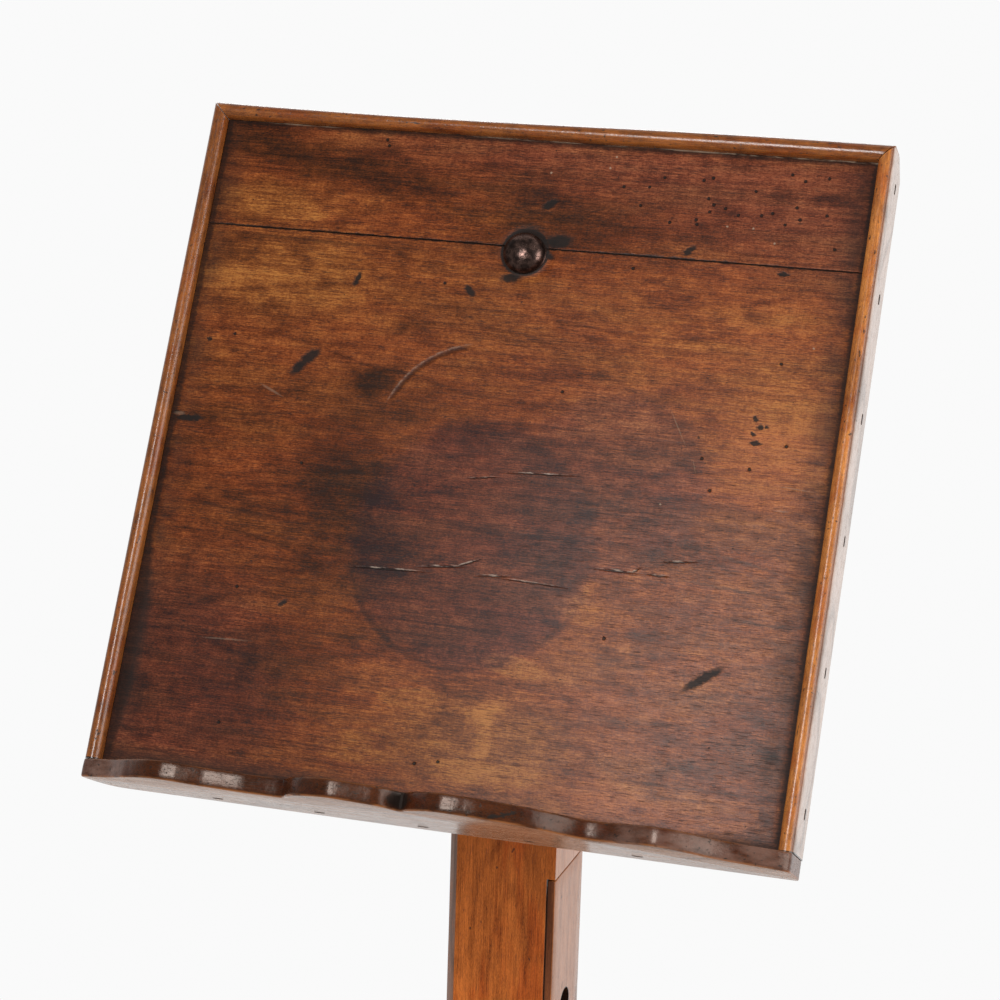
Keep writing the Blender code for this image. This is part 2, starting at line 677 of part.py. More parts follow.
def main():
    clear_scene()
    board_wood = finish("board_wood", (0.16, 0.058, 0.024), 0.38)
    edge_wood = finish("edge_wood", (0.30, 0.115, 0.035), 0.30)
    ledge_wood = finish("ledge_wood", (0.085, 0.032, 0.016), 0.28)
    column_wood = finish("column_wood", (0.27, 0.105, 0.032), 0.36)
    slip_wood = finish("slip_wood", (0.17, 0.066, 0.026), 0.38)
    pedestal_wood = finish("pedestal_wood", (0.24, 0.092, 0.030), 0.38)
    peg_wood = finish("peg_wood", (0.11, 0.040, 0.018), 0.32)
    iron = finish("iron", (0.045, 0.038, 0.034), 0.42, 1.0)

    pedestal = empty("pedestal")
    column = empty("column", pedestal)
    desk = empty("desk", column, desk_matrix())

    drilled = make_planks(board_wood, desk)
    drilled += make_edging(edge_wood, desk)
    drilled.append(make_ledge(ledge_wood, desk))
    drilled += make_battens(column_wood, desk)
    desk_drill = make_nails(iron, desk)
    for wood_piece in drilled:
        cut(wood_piece, desk_drill)
    make_bolt(iron, desk)
    make_column(column_wood, slip_wood, column, desk, desk_drill)
    make_peg(peg_wood, column)

    block_piece = make_box(pedestal_wood, pedestal)
    make_collar(edge_wood, pedestal)
    make_brackets(pedestal_wood, pedestal)
    make_foot(pedestal_wood, pedestal, block_piece)


if __name__ == "__main__":
    main()
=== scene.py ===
"""Looks of the reading stand: aged fruitwood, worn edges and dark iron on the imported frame.

Places and sizes come from the frame's own pieces. Desk pieces are made in the desk's axes (X across, Y up
the slope, Z out of the board) and the rest in the frame's, so a finish can be laid out in millimetres on the
piece that carries it.
"""

import json
import math

import bmesh
import bpy
from bpy.props import FloatProperty, FloatVectorProperty, PointerProperty
from mathutils import Euler, Matrix, Vector, noise

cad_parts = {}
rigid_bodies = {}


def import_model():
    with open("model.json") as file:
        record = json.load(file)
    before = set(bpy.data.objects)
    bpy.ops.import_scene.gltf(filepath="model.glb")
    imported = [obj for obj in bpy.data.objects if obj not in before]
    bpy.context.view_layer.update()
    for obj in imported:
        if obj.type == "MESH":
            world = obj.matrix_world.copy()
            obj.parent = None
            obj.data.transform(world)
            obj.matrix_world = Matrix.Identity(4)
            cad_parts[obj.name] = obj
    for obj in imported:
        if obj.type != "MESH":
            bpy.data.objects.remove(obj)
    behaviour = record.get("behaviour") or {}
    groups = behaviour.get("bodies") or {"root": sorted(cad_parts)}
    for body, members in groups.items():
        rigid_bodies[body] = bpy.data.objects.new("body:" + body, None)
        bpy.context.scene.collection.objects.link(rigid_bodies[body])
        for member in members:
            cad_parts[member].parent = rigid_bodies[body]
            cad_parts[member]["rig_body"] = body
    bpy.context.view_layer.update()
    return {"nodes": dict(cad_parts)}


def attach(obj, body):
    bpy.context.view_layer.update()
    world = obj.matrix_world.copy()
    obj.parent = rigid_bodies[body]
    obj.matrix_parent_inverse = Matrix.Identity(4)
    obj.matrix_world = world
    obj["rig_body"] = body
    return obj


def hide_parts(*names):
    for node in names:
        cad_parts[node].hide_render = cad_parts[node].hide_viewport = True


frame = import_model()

bl_info = {
    "name": "Reading stand looks",
    "version": (1, 0, 0),
    "blender": (4, 5, 0),
    "location": "View3D > Sidebar > Reading stand",
    "description": "Dresses the frame of a reading stand in aged wood and iron",
    "category": "Object",
}

MM = 0.001
PER_MM = 1000.0
FLAT_ANGLE = math.radians(1.0)
SHARP_ANGLE = math.radians(35.0)
SHORTEST_EASED = 0.006
TOUCHING = 1e-6
FIT_GAP = 0.0003  # between pieces that touch, as in the frame
SIDES = ("front", "back", "left", "right")
NODES = frame["nodes"]

# Turns that lay the grain along one of a piece's axes
GRAIN_X = (0.0, 0.0, 0.0)
GRAIN_Y = (0.0, 0.0, math.radians(-90.0))
GRAIN_Z = (0.0, math.radians(90.0), 0.0)

# Layout of the finishes, in millimetres
PIECE_SHIFT = (970.0, 610.0, 430.0)  # how far a piece's grain is moved, at most
UPPER_SHIFT = (330.0, 170.0, 60.0)  # the upper plank's grain against the lower one's
BOARD_FRONT = (20.0, 24.0)  # out from the desk's rear, where the face begins
PEG_HOLE_RADIUS = 11.3
PEG_HOLE_PITCH = 80.0
PEG_HOLE_STEPS = (1, 0, -1, -2, -3)  # from the hole that the peg is in
SCUFF_HEIGHT = 75.0
JOINT_DIRT = (1.3, 0.5)  # from a joint, where its dirt ends and where it is full

# Marks on the board's face, in millimetres from the desk's centre line and from the ledge's underside.
# A mark is (across, up, half length, half width, turn in degrees), and a tone ends with how much paler it is.
ROUND_STAIN = (-3, 180, 80)
SECOND_STAIN = (80, 228, 61)
ARC_SCRATCH = (-15, 248, 64.5)
ARC_STRETCH = (-58, 296, 50, 16, 42)
TONES = (
    (-160, 436, 85, 17, -8, -0.28), (-150, 424, 48, 14, -6, -0.15), (-95, 416, 46, 18, -10, -0.22),
    (-30, 420, 65, 32, 0, -0.14), (30, 398, 50, 18, 0, -0.14), (60, 412, 60, 36, 0, -0.13),
    (-170, 345, 72, 26, 3, 0.14), (-105, 330, 50, 22, 0, 0.13), (-160, 300, 55, 20, 0, 0.10),
    (-60, 340, 50, 18, 0, -0.10), (163, 345, 30, 14, 0, 0.19), (20, 330, 60, 22, 0, -0.04),
    (130, 330, 80, 34, 0, 0.10), (180, 265, 46, 46, 0, 0.20), (-160, 220, 85, 110, 0, -0.13),
    (-150, 182, 58, 24, -4, -0.10), (-110, 152, 34, 22, 0, -0.12), (-145, 121, 34, 12, 0, 0.12),
    (-170, 90, 75, 64, 0, -0.26), (-130, 52, 66, 34, 0, -0.13), (-205, 55, 30, 38, 0, -0.08),
    (-120, 105, 26, 20, 0, -0.10), (-90, 215, 36, 52, 5, -0.24), (-100, 208, 34, 36, 0, -0.24),
    (-88, 281, 17, 12, 20, -0.50), (2, 350, 9, 7, 0, -0.16), (-62, 268, 32, 14, 20, -0.13),
    (-55, 160, 34, 30, 0, -0.12), (-62, 112, 22, 14, 0, -0.14), (30, 79, 14, 5, 10, 0.16),
    (22, 69, 9, 8, 0, 0.12), (41, 107, 18, 9, -8, 0.12), (-20, 75, 27, 12, 0, 0.03),
    (-34, 46, 42, 15, 6, -0.10), (165, 48, 36, 22, 0, -0.09), (180, 175, 30, 16, 0, 0.07),
    (50, 36, 85, 14, 0, 0.08), (72, 150, 18, 20, 0, 0.12), (140, 30, 75, 14, 0, 0.14),
    (75, 270, 44, 16, 0, 0.10), (-208, 444, 45, 28, 0, -0.16), (212, 440, 32, 34, 0, -0.14),
    (-10, 385, 110, 32, 0, -0.11), (-45, 267, 70, 32, 0, -0.11), (150, 207, 30, 30, 0, -0.10),
    (-210, 207, 30, 40, 0, -0.07), (-89, 148, 32, 32, 0, -0.15), (-85, 89, 32, 32, 0, -0.14),
    (150, 148, 40, 30, 0, -0.08), (212, 70, 28, 70, 0, -0.12), (0, 110, 60, 40, 0, -0.07),
    (26, 52, 7, 18, 5, 0.11), (8, 38, 30, 8, 0, 0.05), (121, 131, 12, 16, -35, -0.16),
    (142, 184, 28, 12, -8, -0.18), (-203, 247, 20, 9, 8, -0.22), (20, 76, 17, 8, 0, 0.15),
    (100, 221, 27, 24, 0, -0.09), (129, 26, 6, 3.5, 0, -0.32), (209, 30, 5, 3.5, 0, -0.25),
)
WORN_PATCHES = (
    (29, 79, 13, 4, 10), (23, 69, 7, 7, 0), (26, 54, 5, 13, 5), (38, 105, 21, 7, -8),
    (-20, 77, 27, 8, 0), (-40, 45, 42, 12, 6), (70, 152, 7, 13, -20), (30, 36, 40, 8, 0),
    (-150, 392, 10, 7, 0), (-195, 396, 12, 6, 0), (-185, 345, 30, 6, 4),
)
GOLDEN = ((-165, 350, 90, 42, 0), (-185, 398, 55, 20, 0), (20, 55, 80, 40, 0))
# A bluish patch at the lower left, partly painted sheen
VIOLET_FILM_AND_SHEEN = (-195, 70, 95, 90, 0)
WORM_HOLES = (
    (-109, 448), (-107, 444), (83, 435), (115, 437), (109, 435), (57, 427), (74, 428), (70, 415),
    (114, 423), (118, 419), (126, 417), (116, 414), (108, 408), (109, 405), (91, 405), (135, 413),
    (144, 430), (150, 414), (157, 416), (166, 443), (175, 439), (190, 442), (172, 421), (175, 413),
    (166, 409), (192, 417), (200, 395), (72, 372), (177, 317), (136, 251), (167, 247), (188, 264),
    (144, 231), (92, 130), (-1, 40), (-16, 37), (-150, 47), (-155, 136), (-127, 222), (39, 286),
    (-190, 305), (-52, 352),
)
PALE_SPECKS = ((7, 433), (46, 439), (49, 447), (129, 405), (146, 405), (161, 396), (196, 329), (114, 219))
BLACK_MARKS = (
    (-135, 294, 8, 3.6, 42), (-141, 287, 7, 3.2, 50), (-112, 350, 5, 2, 72), (-34, 348, 5, 2.4, -45),
    (10, 411, 6, 2.6, 35), (158, 112, 14, 3.0, 36), (-122, 129, 3.6, 1.8, 35), (166, 280, 1.8, 1.8, 0),
    (170, 275, 2.2, 1.6, 0), (174, 275, 1.4, 1.2, 0), (166, 270, 1.8, 1.4, 0), (168, 264, 4.2, 1.4, 5),
    (107, 387, 4.6, 2.2, 45), (170, 376, 4, 1.2, 0), (20, 386, 9, 5, 8),
    (-8, 359, 7, 3, 8), (14, 376, 5, 2, -20), (-207, 300, 1.6, 1.6, 0), (-211, 245, 10, 2.4, 2),
)
DARK_LINES = (
    (173, 187, 40, 1.0, -11.5), (165, 170, 42, 1.0, -4.3), (183, 150, 26, 0.9, -3.6),
    (-169, 187, 44, 1.6, -5), (-182, 269, 38, 0.8, 1.6), (-156, 253, 32, 1.0, 7), (-150, 374, 70, 1.4, -1),
)
CRACKS = (
    (-55, 159, 20, 0.5, 2), (-21, 164.5, 12, 0.7, 6), (-4, 168.5, 7, 0.5, 22), (14, 162, 9, 0.6, 4),
    (40, 160.5, 17, 0.4, -2), (93, 174, 12, 0.6, 0), (105, 175.5, 3, 0.5, 35), (120, 174, 6, 0.5, 0),
    (132, 184, 9, 0.5, 6), (33, 231, 19, 0.4, 3), (-4, 225, 8, 0.4, 8),
)
PALE_SCRATCHES = (
    (-157, 269, 8, 0.8, -24), (-156, 101, 15, 0.5, 2), (198, 237, 10, 0.5, -4), (191, 222, 4, 0.6, 0),
    (118, 269, 12, 0.5, -60), (132, 245, 4, 0.5, -70), (-218, 247.5, 3.5, 1.2, 2),
)

# Marks on the ledge, the first a painted shadow in a notch, and the stretches along it painted with a grey
# sheen, as (start, full, strength)
LEDGE_STAINS_AND_SHADOW = ((-4, 7, 7, 6, 0), (66, 5, 7, 0.8, 24), (59, 3, 3, 1.2, 10))
LEDGE_GREY_SHEEN = ((112.0, 140.0, 0.45), (-186.0, -206.0, 0.60))


def desk_axes():
    """The desk's own axes, read from the lower plank and the ledge."""
    plank = NODES["plank_lower"].data
    out = max(plank.polygons, key=lambda face: face.area).normal.copy()
    if out.y > 0:
        out.negate()
    across = Vector((1, 0, 0))
    up = out.cross(across)
    foot = min(vert.co.dot(up) for vert in NODES["book_ledge"].data.vertices)
    rear = min(vert.co.dot(out) for vert in plank.vertices)
    turn = Matrix((across, up, out)).transposed().to_4x4()
    return Matrix.Translation(up * foot + out * rear) @ turn


def reach(node, axes=Matrix()):
    """Lowest and highest corner of a frame node along the given axes."""
    back = axes.inverted()
    points = [back @ vert.co for vert in NODES[node].data.vertices]
    return Vector(map(min, zip(*points))), Vector(map(max, zip(*points)))


DESK = desk_axes()
PLANK_LOW, PLANK_HIGH = reach("plank_lower", DESK)
UPPER_LOW, UPPER_HIGH = reach("plank_upper", DESK)
STRIP_LOW, STRIP_HIGH = reach("edge_strip_left", DESK)
DESK_RIGHT = reach("edge_strip_right", DESK)[1].x
BOLT_LOW, BOLT_HIGH = reach("desk_bolt", DESK)
BOLT_UP = (BOLT_LOW.y + BOLT_HIGH.y) / 2
SEAM_RISE = (PLANK_HIGH.y - UPPER_LOW.y) / (PLANK_HIGH.x - PLANK_LOW.x)
SEAM_UP = (PLANK_HIGH.y + UPPER_LOW.y) / 2


# What a user may change

def colour(name, description, default):
    return FloatVectorProperty(
        name=name, description=description, subtype="COLOR", size=3, min=0.0, max=1.0, default=default,
    )


def length(name, description, default):
    return FloatProperty(name=name, description=description, unit="LENGTH", min=0.0, default=default)


def share(name, description, default):
    return FloatProperty(
        name=name, description=description, subtype="FACTOR", min=0.0, max=1.0, default=default,
    )


def power(name, description, default):
    return FloatProperty(name=name, description=description, unit="POWER", min=0.0, default=default)


class StandSizes(bpy.types.PropertyGroup):
    """How far age and tools have changed the pieces"""
    board_hollow: length("Board hollow", "Depth of the hollows in the board's face", 0.0005)
    board_ease: length("Board ease", "Rounding of the planks' edges", 0.0004)
    bolt_dent: length("Bolt dent", "Depth of the dent round the bolt head", 0.0003)
    bead_wear: length("Bead wear", "Unevenness of the half-round edging", 0.0003)
    top_bow: length("Top bow", "How far the top strip wanders from a straight line", 0.0012)
    worn_corner: length("Worn corner", "Wood lost at the desk's rear right corner", 0.012)
    ledge_ease: length("Ledge ease", "Rounding of the ledge's front edges", 0.0013)
    ledge_bulge: length("Ledge bulge", "How far the ledge's front swells between its edges", 0.0003)
    ledge_wear: length("Ledge wear", "Unevenness of the ledge's front", 0.0012)
    post_ease: length("Column ease", "Rounding of the column's edges", 0.0008)
    slip_gap: length("Slip gap", "Open joint over the slip", 0.0007)
    stand_ease: length("Pedestal ease", "Rounding of the edges of the box, brackets and foot", 0.0016)
    plane_marks: length("Plane marks", "Unevenness left by the plane", 0.0002)
    off_centre: length("Bolt off centre", "How far the bolt head sits to the left of its shank", 0.0015)
    hammer_marks: length("Hammer marks", "Unevenness of the forged iron", 0.0005)


class StandColours(bpy.types.PropertyGroup):
    """Colours of the woods and the iron"""
    board_bright: colour("Board, bright", "Amber of the palest patches", (0.41, 0.150, 0.040))
    board_pale: colour("Board, pale", "Orange brown of the rubbed places", (0.262, 0.080, 0.022))
    board_mid: colour("Board", "Red brown of most of the board", (0.140, 0.037, 0.0115))
    board_deep: colour("Board, deep", "Brown of the stained places", (0.070, 0.0205, 0.0070))
    board_black: colour("Board, darkest", "Near black of the old stains", (0.022, 0.0095, 0.0060))
    # Also the painted shade in creases, holes, cracks, under the top strip and on downward faces
    grime_and_shade: colour("Grime", "Dirt along the edging and in the marks", (0.010, 0.008, 0.007))
    # Also the painted highlights along the arc scratch and the cracks
    dust: colour("Dust", "Dry dust in the corners and raw fibres", (0.36, 0.26, 0.18))
    # Also the painted highlight on the crack edges
    raw: colour("Raw fibres", "Bleached edges of the cracks", (0.58, 0.47, 0.42))
    edging: colour("Edging", "Orange brown of the right strip", (0.68, 0.25, 0.055))
    edging_deep: colour("Edging, deep", "Dark streaks of the right strip", (0.19, 0.053, 0.013))
    edging_red: colour("Edging, red", "Red brown of the left and top strips", (0.40, 0.128, 0.028))
    edging_red_deep: colour("Edging, red, deep", "Dark streaks of those strips", (0.075, 0.022, 0.008))
    # Also the painted shade on the beads' outer flanks
    edging_side_and_flank_shade: colour("Edging, side", "Duller outer sides of the strips", (0.20, 0.063, 0.017))
    # Faded, and painted pale as the sheen of the right strip's outer side
    edging_bleached_sheen: colour("Edging, dry", "Bleached outer side of the right strip", (0.57, 0.43, 0.36))
    ledge: colour("Ledge", "Dark brown of the book ledge", (0.095, 0.024, 0.0065))
    ledge_deep: colour("Ledge, deep", "Dark streaks of the ledge", (0.010, 0.004, 0.002))
    ledge_edge: colour("Ledge, edge", "Rubbed edges of the ledge", (0.30, 0.105, 0.030))
    # Painted grey sheen on stretches of the ledge's front
    ledge_grey_sheen: colour("Ledge, worn", "Ledge rubbed grey by hands", (0.27, 0.155, 0.120))
    ledge_top: colour("Ledge, top", "Dusty top of the ledge", (0.13, 0.060, 0.033))
    ledge_dry: colour("Ledge, dry", "Bare wood under the ledge", (0.45, 0.25, 0.155))
    column: colour("Column", "Orange brown of the column", (0.66, 0.178, 0.033))
    column_deep: colour("Column, deep", "Dark streaks of the column", (0.125, 0.028, 0.007))
    # Partly a painted pale sheen on the right sides
    column_dry_sheen: colour("Column, dry", "Paler right side of the column and the slip", (0.46, 0.225, 0.135))
    # Greyish, partly a painted reflection on the chamfer
    column_cut_sheen: colour("Column, chamfer", "Dull chamfer of the column", (0.245, 0.118, 0.072))
    slip: colour("Slip", "Brown of the slip let into the column", (0.52, 0.165, 0.042))
    slip_deep: colour("Slip, deep", "Dark streaks of the slip", (0.09, 0.026, 0.009))
    slip_edge: colour("Slip, edge", "Dark narrow front of the slip", (0.20, 0.062, 0.024))
    pedestal: colour("Pedestal", "Brown of the box, brackets and foot", (0.36, 0.108, 0.025))
    pedestal_deep: colour("Pedestal, deep", "Dark streaks of the pedestal", (0.105, 0.029, 0.009))
    peg: colour("Peg", "Dark brown of the turned peg", (0.12, 0.038, 0.013))
    peg_deep: colour("Peg, deep", "Dark streaks of the peg", (0.040, 0.014, 0.006))
    iron: colour("Iron", "Worn places of the iron", (0.17, 0.10, 0.08))
    iron_deep: colour("Iron, deep", "Blackened iron", (0.022, 0.014, 0.012))
    floor: colour("Floor", "Pale studio floor", (0.86, 0.86, 0.86))


class StandStage(bpy.types.PropertyGroup):
    """Camera, lamps and floor"""
    lens: FloatProperty(name="Lens", description="Focal length", unit="CAMERA", min=1.0, default=105.7)
    camera_place: FloatVectorProperty(
        name="Camera place", description="Where the camera stands", subtype="TRANSLATION", size=3,
        default=(0.5387, -1.8332, 1.5826),
    )
    camera_turn: FloatVectorProperty(
        name="Camera turn", description="How the camera is turned", subtype="EULER", size=3,
        default=(math.radians(76.288), math.radians(-1.747), math.radians(17.362)),
    )
    white: share("Background", "White that the camera and reflections see", 0.955)
    fill: share("Fill", "Soft light from above and all round", 0.26)
    bounce: share("Bounce", "Light thrown up by the pale floor", 0.75)
    room: share("Room", "What polished fronts mirror of the room behind the camera", 0.25)
    key_power: power("Key lamp", "Softbox in front", 27.0)
    edge_power: power("Edge lamp", "Narrow lamp for the beads", 2.5)
    side_power: power("Side lamp", "Softbox on the right", 36.0)
    back_power: power("Back lamp", "Softbox behind", 16.0)
    floor_radius: length("Floor radius", "Where the floor has faded out", 1.7)


# Procedural finishes

class Finish:
    """A material under construction. Values may be numbers, vectors, colours or sockets."""

    def __init__(self, name):
        self.material = bpy.data.materials.new(name)
        self.material.use_nodes = True
        self.tree = self.material.node_tree
        self.shader = self.tree.nodes["Principled BSDF"]

    def feed(self, socket, value):
        if isinstance(value, bpy.types.NodeSocket):
            self.tree.links.new(value, socket)
        elif socket.type == "RGBA":
            socket.default_value = (*value, 1.0)
        else:
            socket.default_value = value

    def add(self, kind, inputs, output=0, **settings):
        node = self.tree.nodes.new(kind)
        for key, value in settings.items():
            setattr(node, key, value)
        for key, value in inputs.items():
            self.feed(node.inputs[key], value)
        return node.outputs[output]

    def math(self, operation, *values):
        return self.add("ShaderNodeMath", dict(enumerate(values)), operation=operation)

    def times(self, first, second):
        return self.math("MULTIPLY", first, second)

    def minus(self, first, second):
        return self.math("SUBTRACT", first, second)

    def vector(self, operation, *values):
        measured = operation in ("LENGTH", "DISTANCE", "DOT_PRODUCT")
        return self.add("ShaderNodeVectorMath", dict(enumerate(values)), int(measured), operation=operation)

    def ramp(self, value, start, end, low=0.0, high=1.0):
        """Smooth step from low at start to high at end."""
        limits = {"Value": value, "From Min": start, "From Max": end, "To Min": low, "To Max": high}
        return self.add("ShaderNodeMapRange", limits, interpolation_type="SMOOTHSTEP")

    def mix(self, amount, first, second, blend="MIX"):
        inputs = {0: amount, 6: first, 7: second}
        return self.add("ShaderNodeMix", inputs, 2, data_type="RGBA", blend_type=blend)

    def noise(self, place, scale, detail=2.0, roughness=0.5, distortion=0.0, output=0):
        """Noise whose features are about 1 / scale millimetres long on each axis."""
        inputs = {
            "Vector": self.vector("MULTIPLY", place, scale), "Scale": 1.0, "Detail": detail,
            "Roughness": roughness, "Distortion": distortion,
        }
        return self.add("ShaderNodeTexNoise", inputs, output)

    def shades(self, value, stops):
        node = self.tree.nodes.new("ShaderNodeValToRGB")
        self.feed(node.inputs[0], value)
        points = node.color_ramp.elements
        while len(points) < len(stops):
            points.new(1.0)
        for point, (place, shade) in zip(points, stops):
            point.position = place
            point.color = (*shade, 1.0)
        return node.outputs[0]

    def split(self, place):
        node = self.tree.nodes.new("ShaderNodeSeparateXYZ")
        self.feed(node.inputs[0], place)
        return node.outputs

    def place(self, turn=GRAIN_X, vary=False):
        """Millimetres on the piece, turned so that the grain runs along X; vary shifts each piece's grain."""
        coordinates = self.add("ShaderNodeTexCoord", {}, "Object")
        inputs = {"Vector": coordinates, "Rotation": turn, "Scale": (PER_MM, PER_MM, PER_MM)}
        laid = self.add("ShaderNodeMapping", inputs)
        if not vary:
            return laid
        amount = self.add("ShaderNodeObjectInfo", {}, "Random")
        return self.vector("ADD", laid, self.scaled(PIECE_SHIFT, amount))

    def scaled(self, vector, amount):
        return self.add("ShaderNodeVectorMath", {"Vector": vector, "Scale": amount}, operation="SCALE")

    def level(self, axis):
        """Millimetres along one of the piece's own axes."""
        coordinates = self.add("ShaderNodeTexCoord", {}, "Object")
        return self.times(self.split(coordinates)[axis], PER_MM)

    def nearest(self, place, marks):
        """Distance to the nearest mark, as a share of that mark's own half sizes."""
        closest = None
        for across, up, long, wide, turn in marks:
            cosine, sine = math.cos(math.radians(turn)), math.sin(math.radians(turn))
            away = self.vector("SUBTRACT", place, (across, up, 0))
            lengthwise = self.vector("DOT_PRODUCT", away, (cosine / long, sine / long, 0))
            sideways = self.vector("DOT_PRODUCT", away, (-sine / wide, cosine / wide, 0))
            square = self.times(lengthwise, lengthwise)
            square = self.math("MULTIPLY_ADD", sideways, sideways, square)
            closest = square if closest is None else self.math("MINIMUM", closest, square)
        return self.math("SQRT", closest)

    def nearest_point(self, place, points):
        """Millimetres to the nearest point."""
        closest = None
        for across, up in points:
            away = self.vector("DISTANCE", place, (across, up, 0))
            closest = away if closest is None else self.math("MINIMUM", closest, away)
        return closest

    def done(self, shade, roughness, relief=None, ior=1.3, metallic=0.0):
        """Feed the shader. Relief is a height in millimetres."""
        self.feed(self.shader.inputs["Base Color"], shade)
        self.feed(self.shader.inputs["Roughness"], roughness)
        self.shader.inputs["IOR"].default_value = ior
        self.shader.inputs["Metallic"].default_value = metallic
        if relief is not None:
            bump = self.add("ShaderNodeBump", {"Height": relief, "Distance": MM})
            self.feed(self.shader.inputs["Normal"], bump)
        return self.material


def wood_grain(finish, place, rings=9.0):
    """Streaks, fibres, dashes, mottling, growth lines and pores of wood along X, each from 0 to 1."""
    field = finish.noise(place, (0.0028, 0.016, 0.016), 1.5, distortion=0.25)
    wave = finish.math("PINGPONG", finish.times(field, rings), 0.5)
    lines = finish.ramp(wave, 0.16, 0.0)
    streaks = finish.ramp(finish.noise(place, (0.010, 0.16, 0.16), 4.0, 0.62), 0.28, 0.72)
    fibres = finish.ramp(finish.noise(place, (0.035, 1.35, 1.35), 3.0, 0.72), 0.32, 0.68)
    dashes = finish.ramp(finish.noise(place, (0.42, 2.3, 2.3), 2.0, 0.75), 0.34, 0.66)
    mottle = finish.ramp(finish.noise(place, (0.06, 0.22, 0.22), 5.0, 0.68), 0.28, 0.72)
    pores = finish.ramp(finish.noise(place, (0.11, 1.8, 1.8), 2.0), 0.56, 0.66)
    return streaks, fibres, dashes, mottle, lines, pores


def weighted(finish, start, *terms):
    """Start plus each term's value times its weight."""
    total = start
    for value, weight in terms:
        total = finish.math("MULTIPLY_ADD", value, weight, total)
    return total


def most(finish, *values):
    """The largest of the values."""
    largest = values[0]
    for value in values[1:]:
        largest = finish.math("MAXIMUM", largest, value)
    return largest


